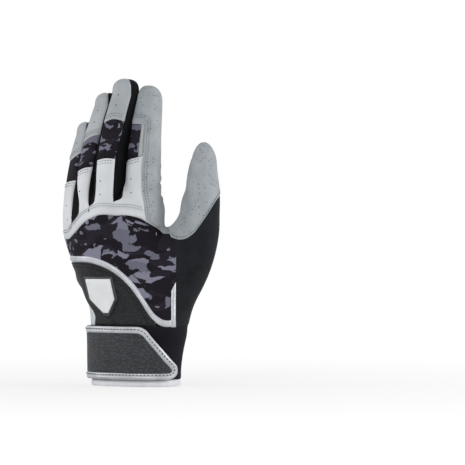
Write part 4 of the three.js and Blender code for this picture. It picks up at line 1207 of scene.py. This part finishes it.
thumb_suede_bottom = over_angles(-180, 180, thumb_suede_low)
front_borders = (thumb_inner, thumb_edge, thumb_suede_bottom, level(thumb_joint))
thumb_front = lay_panel(thumb_chart, front_borders, 100, 46, lift=0.35, flush=("high", "left", "low"),
                        crease=0.4, crease_mm=8)
sew_on("thumb_lower_suede", thumb_front, leather_thickness, suede, on_hand, ["thumb_suede"])


def thumb_far_edge(height):
    limit = math.radians(thumb_far_angle)
    crotch = 360 + thumb_crotch_angle
    far = angle_where(thumb_chart, height, lambda p: -past_seam(p), thumb_edge_angle, crotch)
    return np.where(height > crotch_height, limit, np.minimum(limit, far))


thumb_far = Side(200, cuff_top, hand_top, thumb_far_edge)
thumb_palm = lay_panel(thumb_chart, (thumb_edge, thumb_far, level(cuff_top + cuff_gap), level(thumb_joint)),
                       40, 100, lift=0.2, flush=("high", "right"), crease=0.5, crease_mm=12)
sew_on("thumb_palm_side", thumb_palm, palm_thickness, palm_leather, on_hand, ["thumb_palm_leather"])
print("thumb base made")

# %% Tip of the thumb
pole_share = 0.985


def tip_end(limb):
    return level(limb["top"] - limb["cap"] * (1 - pole_share))


thumb = limbs["thumb"]


def limb_point(limb, height):
    x, y, _, _ = limb["at"](height)[0]
    return x, y, height


thumb_bends = bends_between(limb_point(thumb, thumb_joint + 0.5),
                            limb_point(thumb, thumb_joint + 15))
thumb_tip = lay_panel(thumb_chart, (thumb_inner, thumb_edge, level(thumb_joint), tip_end(thumb)), 56, 40,
                      lift=0.35, flush=("low",), crease=0.3, crease_mm=8)
sew_on("thumb_tip_front", thumb_tip, leather_thickness, suede, thumb_bends, ["thumb_tip_suede"])
back_borders = (thumb_edge, Side(thumb_far_angle), level(thumb_joint), tip_end(thumb))
thumb_tip_palm = lay_panel(thumb_chart, back_borders, 26, 40, lift=0.2, flush=("low",), crease=0.3,
                           crease_mm=8)
sew_on("thumb_tip_back", thumb_tip_palm, palm_thickness, palm_leather, thumb_bends, ["thumb_tip_leather"])
print("the thumb bends at", thumb_joint, "mm")

# %% [markdown]
# Two rows of thread follow the suede's lower edge, from the knuckle band down to the crotch and
# up the thumb again.

# %% Stitches along the suede
side_insets, low_insets = (1.9, 3.7), (1.6, 3.4)
side_rows = [line_beside(side_suede, "left", inset, (0.12, 1.0)) for inset in side_insets]
low_rows = [line_beside(side_suede, "low", inset, (0.05, 0.55)) for inset in low_insets]
sew("suede_stitches", side_rows + low_rows, thread_darkened_as_shade, on_hand)
thumb_rows = [line_beside(thumb_front, "low", inset, (0.33, 0.99)) for inset in low_insets]
sew("thumb_suede_stitches", thumb_rows, thread_darkened_as_shade, on_hand)
print("suede stitched")

# %% [markdown]
# ## The fingers
#
# Each finger has the same panels: a leather strip over the knuckle, a printed insert over the
# joint, a tip, dark sides towards the neighbours and leather on the palm side. The panels below
# the insert are set against the finger's root, and those above against its joint, but all are only
# baked in place and do not bend.

# %% Finger sizes, and the edges of each finger's back as shares of height and degrees
fingers = {
    "index": {
        "left": [(0.62, -51), (0.637, -58), (0.65, -66), (0.8, -62), (0.86, -50), (0.95, -46)],
        "right": [(0.58, 15), (0.6, 11), (0.635, 4), (0.68, 2), (0.71, 1), (0.75, 4), (0.8, 5.5), (0.85, 7),
                  (0.9, 12)],
        "low": [(-64, 0.733), (10, 0.752)], "high": [(-64, 0.856), (10, 0.856)],
        "sides": ("ulnar",), "joint": 0.792},
    "middle": {
        "left": [(0.6, -41), (0.637, -39), (0.667, -37), (0.72, -39), (0.9, -41), (0.95, -48)],
        "right": [(0.6, 35), (0.742, 37), (0.79, 44), (0.83, 52), (0.95, 46)],
        "low": [(-40, 0.735), (0, 0.742), (38, 0.74)], "high": [(-41, 0.861), (-8, 0.873), (52, 0.867)],
        "sides": ("ulnar", "radial"), "joint": 0.792},
    "ring": {
        "left": [(0.57, 17), (0.59, 16), (0.61, 11), (0.637, -1), (0.662, -10), (0.69, -16), (0.71, -34),
                 (0.8, -42), (0.95, -44)],
        "right": [(0.57, 50), (0.8, 51), (0.86, 48)],
        "low": [(-34, 0.692), (10, 0.708), (51, 0.714)], "high": [(-42, 0.79), (5, 0.814), (50, 0.824)],
        "sides": ("ulnar", "radial"), "joint": 0.763},
    "little": {
        "left": [(0.5, -104), (0.9, -104)], "right": [(0.55, 40), (0.64, 44), (0.7, 49)],
        "low": [(-104, 0.652), (-34, 0.659), (48, 0.668)], "high": [(-104, 0.722), (-34, 0.732), (49, 0.763)],
        "sides": ("radial",), "joint": 0.7},
}
holes = {
    "index": {"knuckle": [(-2.3, 162.4), (-2.3, 151.4)], "tip": []},
    "middle": {"knuckle": [(-26.2, 160.6), (-26.2, 150.3)], "tip": [(-12.2, 227.8), (-14.1, 219.3)]},
    "ring": {"knuckle": [(-42.8, 152.0)], "tip": [(-28.4, 215.2), (-31.3, 206.0)]},
    "little": {"knuckle": [(-53.6, 140.0), (-52.8, 129.0)], "tip": [(-45.4, 189.4)]},
}
palm_edge = 120
radial_palm_edge = 140
slot_round = 5.0
slot_depth_angle = 100
slot_skin = 0.04
slot_inner = math.radians(30)
slot_squareness = 0.36


def back_edge(name, side):
    """An edge of the finger's back. Down at the web it comes round to the middle of the slot."""
    rows = fingers[name][side]
    heights = np.array([tall(share) for share, _ in rows])
    turns = [degrees for _, degrees in rows]
    lane = finger_names.index(name) - (side == "right")

    def plain(height):
        return np.radians(np.interp(height, heights, turns))

    start = math.degrees(float(plain(tall(fingers[name]["joint"]))))
    if not 0 <= lane < len(lane_places):
        return Side(start, tall(0.5), glove_length, plain)
    chart, web, sign = finger_charts[name], web_heights[lane], -1 if side == "right" else 1

    def room(p):
        return sign * (lane_of(p) - lane_places[lane])

    def corner(height, inner):
        near, far = inner, np.full(len(height), -sign * math.radians(slot_depth_angle))
        for _ in range(search_turns):
            middle = (near + far) / 2
            outside = room(chart.surface(middle, height)) > slot_skin
            near, far = np.where(outside, middle, near), np.where(outside, far, middle)
        return far

    def seen(angle, height):
        return float(across_of(chart.surface(angle, height))[0])

    foot = np.array([web])
    low = seen(corner(foot, np.zeros(1)), web)
    high = seen(plain(web + slot_round), web + slot_round)

    def edge(height):
        share = np.clip((height - web) / slot_round, 0, 1)
        target = low + (high - low) * (share * (2 - share)) ** slot_squareness
        far, near = corner(height, np.zeros(len(height))), np.full(len(height), sign * slot_inner)
        for _ in range(search_turns):
            middle = (near + far) / 2
            inside = sign * (across_of(chart.surface(middle, height)) - target) > 0
            near, far = np.where(inside, middle, near), np.where(inside, far, middle)
        return np.where(height > web + slot_round, plain(height), far)

    return Side(start, tall(0.5), glove_length, edge)


never = 1000.0


def seam_round(rows):
    """A seam across the finger's back, from rows of degrees and share of height."""
    return through_curve([(math.radians(degrees), tall(share)) for degrees, share in rows])


swell_angle, swell_spread, swell_depth = 122, 16, 0.95
swell_low, swell_high, swell_fade = 160, 226, 12


def full_side(degrees, height):
    """The middle finger's side is puffed out towards the index, so no light shows between them."""
    side = np.exp(-(((degrees - swell_angle) / swell_spread) ** 2))
    low = np.clip((height - swell_low) / swell_fade, 0, 1)
    high = np.clip((swell_high - height) / swell_fade, 0, 1)
    return swell_depth * side * low * high


# %% Make one finger
row_height = 0.9
fewest_rows = 8
seam_insets, seam_span = (1.7, 3.7), (0.06, 0.94)


def make_finger(name):
    chart, limb, plan = finger_charts[name], limbs[name], fingers[name]
    low_edge, high_edge = seam_round(plan["low"]), seam_round(plan["high"])
    joint = tall(plan["joint"])
    insert_low, insert_high = tall(plan["low"][0][1]), tall(plan["high"][0][1])
    cut = over_angles(-180, 360, lambda angle: height_where(chart, angle, finger_cut))
    split, end = level(insert_low), tip_end(limb)
    high_cut = float(cut(np.radians(np.arange(-180, 181, 5))).max())
    reach = min(joint - insert_low, insert_high - joint) - 0.5
    root_bend = bends_between(limb_point(limb, high_cut + 0.5),
                              limb_point(limb, insert_low - 1))
    top_bend = bends_between(limb_point(limb, joint - reach), limb_point(limb, joint + reach))
    root = float(cut(np.array([0.0]))[0])
    left, right = back_edge(name, "left"), back_edge(name, "right")
    order = finger_names.index(name)
    webs = {"left": (web_heights[min(order, 2)] + 1, never),
            "right": (web_heights[max(order - 1, 0)] + 1, never)}
    is_index = name == "index"
    tip_finish = suede if is_index else tip_leather
    inner_edge, ulnar_flush = (("left",), ("right",)) if is_index else ((), ())

    def rows_over(low, high):
        return max(fewest_rows, round((high - low) / row_height))

    knuckle = lay_panel(chart, (left, right, cut, low_edge), 36, rows_over(root, insert_low), lift=0.25,
                        flush=("low", *inner_edge), crease=0.2, fade=webs)
    sew_on(f"{name}_knuckle_leather", knuckle, leather_thickness, white_leather, root_bend,
           [f"{name}_knuckle_strip"])
    insert = lay_panel(chart, (left, right, low_edge, high_edge), 34, rows_over(insert_low, insert_high),
                       lift=-0.1 if is_index else -0.25, drop=0.4, flush=inner_edge, crease=0.25)
    sew_on(f"{name}_printed_insert", insert, cloth_thickness, printed, top_bend, [f"{name}_stretch_insert"])
    tip = lay_panel(chart, (left, right, high_edge, end), 34, rows_over(insert_high, limb["top"]),
                    lift=0.35, flush=("left", "right") if is_index else (), crease=0.15)
    sew_on(f"{name}_tip_panel", tip, leather_thickness, tip_finish, top_bend, [f"{name}_tip_back"])

    rows_low, rows_high = rows_over(root, insert_low), rows_over(insert_low, limb["top"])

    def wall(label, near, far, finish, columns, lift, flush=(), crease=0.15, ripple=None, fade=webs):
        for part, low, high, rows, bend in (("lower", cut, split, rows_low, root_bend),
                                            ("upper", split, end, rows_high, top_bend)):
            ends = ("low", "high") if part == "lower" else ("low",)
            laid = lay_panel(chart, (near, far, low, high), columns, rows, lift=lift, flush=(*ends, *flush),
                             crease=crease, fade=fade, ripple=ripple)
            sew_on(f"{name}_{label}_{part}_part", laid, finger_side_thickness, finish, bend,
                   [f"{name}_{label}_{part}"])

    front = Side(radial_palm_edge if "radial" in plan["sides"] else palm_edge)
    last = Side(360 - palm_edge)
    if "radial" in plan["sides"]:
        wall("radial_side", right, front, side_cloth, 20, -0.15,
             ripple=full_side if name == "middle" else None)
    if "ulnar" in plan["sides"]:
        wall("ulnar_side", Side(-palm_edge), left, side_cloth, 20, -0.15, flush=ulnar_flush)
    else:
        last = left.turned(360)
    wall("palm_side", front, last, palm_leather, 40, 0.2, crease=0.3)
    if is_index:
        wall("suede_wrap", right, front, suede, 48, 0.35, ripple=wrap_ripple,
             fade={"left": (0, insert_high - fade_run)})
        finish_index(chart, right, low_edge, high_edge, insert_low, insert_high, cut, root_bend, top_bend)
    else:
        tip_rows = [line_beside(tip, "low", inset, seam_span) for inset in seam_insets]
        sew(f"{name}_tip_stitches", tip_rows, thread_darkened_as_shade, top_bend)
    knuckle_lines = [line_beside(knuckle, "high", inset, seam_span) for inset in seam_insets]
    sew(f"{name}_knuckle_stitches", knuckle_lines, thread_darkened_as_shade, root_bend)
    punch(f"{name}_knuckle_hole_shade", knuckle, holes[name]["knuckle"], root_bend)
    if holes[name]["tip"]:
        punch(f"{name}_tip_hole_shade", tip, holes[name]["tip"], top_bend)


# %% [markdown]
# The index finger's suede wraps round from the palm side and over the tip. A satin strip edges
# it beside the insert, and two rows of thread run across above the insert, round a corner and
# down to the band.

# %% What only the index finger has
finger_turn = math.radians(4.6)
wrap_rows = ((1.9, 4.6), (3.7, 6.4))
wrap_corner = 6.5
satin_width = 3.6
satin_thickness = 0.7
thread_lift = 0.35
pucker_angle, pucker_spread, pucker_depth = 104, 20, 0.45
pucker_top, pucker_fade = 178, 20


def wrap_ripple(degrees, height):
    """Puckers along the outer edge, where the thick suede is drawn in by its seam."""
    along = np.sin(height / 1.35) + 0.6 * np.sin(height / 0.83 + 1.0)
    side = np.exp(-(((degrees - pucker_angle) / pucker_spread) ** 2))
    return pucker_depth * along * side * np.clip((pucker_top - height) / pucker_fade, 0, 1)


def finish_index(chart, edge, low_edge, high_edge, insert_low, insert_high, cut, root_bend, top_bend):
    satin_edge = edge.turned(-math.degrees(finger_turn) * satin_width)
    strip = lay_panel(chart, (satin_edge, edge, low_edge, high_edge), 8, round(insert_high - insert_low),
                      lift=0.3, drop=0.5, reach=1.2, crease=0.05)
    sew_on("index_satin_strip", strip, satin_thickness, satin, top_bend)
    above, below = [], []
    for beside, over in wrap_rows:
        top = insert_high + over
        corner = edge.at(top - wrap_corner) + beside * finger_turn
        bend = np.radians(np.linspace(90, 0, 12))
        down = np.linspace(top - wrap_corner, insert_low, 41)[1:]
        turns = np.concatenate([np.linspace(math.radians(-42), corner - wrap_corner * finger_turn, 14),
                                corner - wrap_corner * finger_turn * (1 - np.cos(bend)),
                                edge.at(down) + beside * finger_turn])
        heights = np.concatenate([np.full(14, top), top - wrap_corner * (1 - np.sin(bend)), down])
        above.append(line_over(chart, turns, heights, thread_lift))
        foot = float(cut(np.array([corner]))[0])
        down = np.linspace(insert_low, foot, 40)
        below.append(line_over(chart, edge.at(down) + beside * finger_turn, down, thread_lift))
    sew("index_wrap_stitches_upper", above, thread_darkened_as_shade, top_bend)
    sew("index_wrap_stitches_lower", below, thread_darkened_as_shade, root_bend)


# %% Make the four fingers
for finger_name in finger_names:
    make_finger(finger_name)
    print(finger_name, "finger made,", len(pieces_made), "pieces so far")

# %% [markdown]
# ## Cuff, hem and wrist tab
#
# The cuff is a closed tube of smooth stretch cloth with a bound hem. The tab is rooted at the
# little finger's side, lies over the back of the cuff and holds by hook and loop.

# %% Cuff and hem
cuff_thickness, hem_thickness = 2.2, 3.2
full_turn = (Side(-180), Side(180))
cuff = lay_panel(cuff_chart, (*full_turn, level(hem_height + cuff_gap), level(cuff_top)), 180, 50,
                 flush=("left", "right"), drop=0.5, reach=1.2, crease=0.3, crease_mm=16)
sew_on("cuff_tube", cuff, cuff_thickness, cuff_cloth, on_hand, ["cuff"], closed=True)
hem = lay_panel(hand_chart, (*full_turn, level(0.0), level(hem_height)), 180, 12, lift=0.7, drop=1.0,
                reach=2.2, flush=("left", "right"), crease=0.0)
sew_on("hem_roll", hem, hem_thickness, hem_silver_painted_light, on_hand, ["hem_binding"], closed=True)
elastic = lay_panel(hand_chart, (Side(150), Side(215), level(52.0), level(58.0)), 30, 8, lift=-1.5,
                    drop=0.2, crease=0.0)
sew_on("wrist_elastic_strip", elastic, pad_thickness, elastic_cloth, on_hand, ["wrist_elastic"])
print("cuff, hem and elastic made")

# %% Outline of the tab
# A corner has the angle it starts or ends at, its radius, and its place across and in height.
tab_bottom, tab_top = 7.6, 47.0
tab_corners = ((math.radians(90), 11.0, 9.0, 36.0), (math.radians(-90), 6.5, 37.8, 14.1))
binding_width = 3.6
tab_root_angle = -112
tab_root = math.radians(tab_root_angle)
tab_lift = 3.9
binding_fold_thickness, anchor_thickness = 1.9, 3.5
corner_steps, edge_steps = 14, 60


def tab_outline(inset):
    upper_corner, lower_corner = tab_corners
    upper_turn, upper_round, shoulder, upper_height = upper_corner
    lower_turn, lower_round, toe, lower_height = lower_corner
    slant = math.atan2(toe - shoulder, tab_top - tab_bottom)
    upper = (upper_turn, slant, upper_round, shoulder, upper_height)
    lower = (slant, lower_turn, lower_round, toe, lower_height)
    points = []
    for start, stop, radius, across, height in (upper, lower):
        centre = across - radius * math.tan((start - stop) / 2)
        reach = radius - inset
        for turn in np.linspace(start, stop, corner_steps + 1):
            points.append((centre + reach * math.cos(turn), height + reach * math.sin(turn)))
    points = np.array(points)
    before, after = points[corner_steps], points[corner_steps + 1]
    between = before + (after - before) * np.linspace(0, 1, edge_steps + 1)[1:-1, None]
    return np.concatenate([points[:corner_steps + 1], between, points[corner_steps + 1:]])


def tab_angle(across, height):
    return angle_where(hand_chart, height, lambda p: across_of(p) - across, -80, 100)


def tab_edge(inset):
    rim = tab_outline(inset)
    angles = tab_angle(rim[:, 0], rim[:, 1])
    run = np.linspace(0, 1, edge_steps + 1)[:-1]
    top = np.array([tab_root + (angles[0] - tab_root) * run, np.full(edge_steps, tab_top - inset)]).T
    low = np.array([tab_root + (angles[-1] - tab_root) * run,
                    np.full(edge_steps, tab_bottom + inset)]).T[::-1]
    return np.concatenate([top, np.array([angles, rim[:, 1]]).T, low])


# %% Binding and field of the tab
tab_start = hand_chart.surface(tab_root, 27.0)[0]
tab_way = np.array([0.8, -0.6, 0.0])
tab_flex = 9.0
on_tab = bends_between(tab_start, tab_start + tab_way * tab_flex)
outer_rim, inner_rim = tab_edge(0.0), tab_edge(binding_width)
rim_share = np.linspace(0, 1, 11)[:, None, None]
rim_grid = inner_rim[None] * (1 - rim_share) + outer_rim[None] * rim_share
binding = lay_panel(hand_chart, None, 0, 0, lift=tab_lift + 0.5, drop=0.9, reach=1.9, crease=0.05,
                    flush=("left", "right"), patch=(rim_grid[..., 0], rim_grid[..., 1]))
sew_on("tab_silver_binding", binding, binding_fold_thickness, silver, on_tab, ["tab_binding"])
tab_row = line_beside(binding, "low", binding_width / 2 - 0.2)
sew("tab_binding_stitches", [tab_row], dark_thread, on_tab, pitch=3.0, length=2.2, width=0.75)

tab_rim = tab_outline(binding_width)[::-1]
tab_rim_across = through_rows(tab_rim[:, ::-1])


def tab_borders(margin, root=None):
    right = Side(30, 0, cuff_top, lambda height: tab_angle(tab_rim_across(height) - margin, height))
    left = Side(tab_root_angle)
    if root:
        left = Side(-20, 0, cuff_top, lambda height: tab_angle(wide(root) + margin, height))
    return left, right, level(tab_bottom + binding_width + margin), level(tab_top - binding_width - margin)


field = lay_panel(hand_chart, tab_borders(-0.3), 120, 60, lift=tab_lift, drop=0.5, reach=2.0,
                  flush=("left",), crease=0.25, crease_mm=12)
sew_on("tab_crackle_field", field, trim_thickness, crackle, on_tab, ["tab_shell"])
anchor_borders = (Side(tab_root_angle - 10), Side(tab_root_angle), level(tab_bottom), level(tab_top))
anchor = lay_panel(hand_chart, anchor_borders, 12, 40, lift=tab_lift, drop=0.8, reach=1.4, flush=("right",),
                   crease=0.05)
sew_on("tab_root_patch", anchor, anchor_thickness, crackle, on_hand, ["tab_anchor"])
print("tab made,", tab_top - tab_bottom, "mm high")

# %% Hook and loop pads
hook = lay_panel(hand_chart, tab_borders(5.0, -0.12), 40, 24, lift=2.2, drop=0.2, crease=0.1)
sew_on("tab_hook_pad", hook, pad_thickness, fastener_cloth, carried_by("wrist_tab"), ["hook_pad"])
loop = lay_panel(hand_chart, tab_borders(2.5, -0.12), 40, 24, lift=1.1, drop=0.2, crease=0.1)
sew_on("cuff_loop_pad", loop, pad_thickness, fastener_cloth, on_hand, ["loop_pad"])
print(len(pieces_made), "pieces made")

# %% [markdown]
# ## Studio
#
# The photograph is a catalogue picture: a long lens, soft even light and a white ground. The
# floor is pale, and only what the camera sees directly of the world is turned to white, so the
# light on the glove stays plain.

# %% Camera
frame_width = 0.364
distance = 5.0
sensor = 36.0
aim = (np.array([*from_view(77.1, 0.0), 119.8]) + shift) * MM
elevation = math.radians(1.5)
away = np.array([math.sin(view_turn) * math.cos(elevation), -math.cos(view_turn) * math.cos(elevation),
                 math.sin(elevation)])
camera_data = bpy.data.cameras.new("catalogue_camera")
camera_data.sensor_width = sensor
camera_data.lens = sensor * distance / frame_width
camera_data.clip_end = 100
camera = bpy.data.objects.new("catalogue_camera", camera_data)
camera.location = aim + away * distance
camera.rotation_euler = Vector(-away).to_track_quat("-Z", "Y").to_euler()
scene.collection.objects.link(camera)
scene.camera = camera

# %% Floor
floor_bm = bmesh.new()
bmesh.ops.create_grid(floor_bm, x_segments=2, y_segments=2, size=4)
floor_mesh = bpy.data.meshes.new("floor")
floor_bm.to_mesh(floor_mesh)
floor_bm.free()
floor = bpy.data.objects.new("floor", floor_mesh)
scene.collection.objects.link(floor)
floor_material = bpy.data.materials.new("pale_paper_floor")
floor_material.use_nodes = True
tree = floor_material.node_tree
tree.nodes.clear()
paper = add_node(tree, "ShaderNodeBsdfDiffuse", {"Color": linear("#f2f2f2")})
white = add_node(tree, "ShaderNodeEmission", {"Color": linear("#ffffff"), "Strength": 1.0})
rays = add_node(tree, "ShaderNodeLightPath")
spot = add_node(tree, "ShaderNodeTexCoord")
away_from = add_node(tree, "ShaderNodeVectorMath", links={0: spot.outputs["Object"]}, operation="LENGTH")
fade_out = add_node(tree, "ShaderNodeMapRange",
                    {"From Min": 0.08, "From Max": 0.5, "To Min": 0.75, "To Max": 1.0},
                    {"Value": away_from.outputs["Value"]})
bright = add_node(tree, "ShaderNodeMath",
                  links={0: fade_out.outputs["Result"], 1: rays.outputs["Is Camera Ray"]},
                  operation="MULTIPLY")
floor_mix = add_node(tree, "ShaderNodeMixShader", links={0: bright.outputs["Value"], 1: paper.outputs["BSDF"],
                                                         2: white.outputs["Emission"]})
add_node(tree, "ShaderNodeOutputMaterial", links={"Surface": floor_mix.outputs["Shader"]})
floor_mesh.materials.append(floor_material)

# %% World and lamps
world = bpy.data.worlds.new("studio")
scene.world = world
world.use_nodes = True
tree = world.node_tree
tree.nodes.clear()
rays = add_node(tree, "ShaderNodeLightPath")
seen = add_node(tree, "ShaderNodeBackground", {"Color": linear("#ffffff"), "Strength": 1.0})
light = add_node(tree, "ShaderNodeBackground", {"Color": linear("#ffffff"), "Strength": 0.34})
shine = add_node(tree, "ShaderNodeMath",
                 links={0: rays.outputs["Is Glossy Ray"], 1: rays.outputs["Is Transmission Ray"]},
                 operation="ADD")
direct = add_node(tree, "ShaderNodeMath",
                  links={0: rays.outputs["Is Camera Ray"], 1: shine.outputs["Value"]},
                  operation="ADD", use_clamp=True)
either = add_node(tree, "ShaderNodeMixShader",
                  links={0: direct.outputs["Value"], 1: light.outputs["Background"],
                         2: seen.outputs["Background"]})
add_node(tree, "ShaderNodeOutputWorld", links={"Surface": either.outputs["Shader"]})


def soft_lamp(name, azimuth, height, reach, size, power):
    data = bpy.data.lights.new(name, "AREA")
    data.shape, data.size, data.energy = "DISK", size, power
    lamp = bpy.data.objects.new(name, data)
    turn = math.radians(azimuth)
    spot = Vector((math.sin(turn) * reach, -math.cos(turn) * reach, height))
    lamp.location = spot
    lamp.rotation_euler = (Vector((0, 0, 0.12)) - spot).to_track_quat("-Z", "Y").to_euler()
    scene.collection.objects.link(lamp)

# Each lamp has its azimuth in degrees, then height, distance and size in metres, and its watts.
lamps = {
    "key_lamp": (5, 1.0, 1.5, 0.9, 7),
    "fill_lamp": (30, 0.15, 1.8, 0.7, 5),
    "left_lamp": (-60, 0.6, 1.4, 0.8, 5),
    "right_lamp": (115, 0.5, 1.4, 0.8, 9),
    "back_lamp": (190, 1.0, 1.4, 0.9, 5),
}
for lamp_name, settings in lamps.items():
    soft_lamp(lamp_name, *settings)
print("lit")
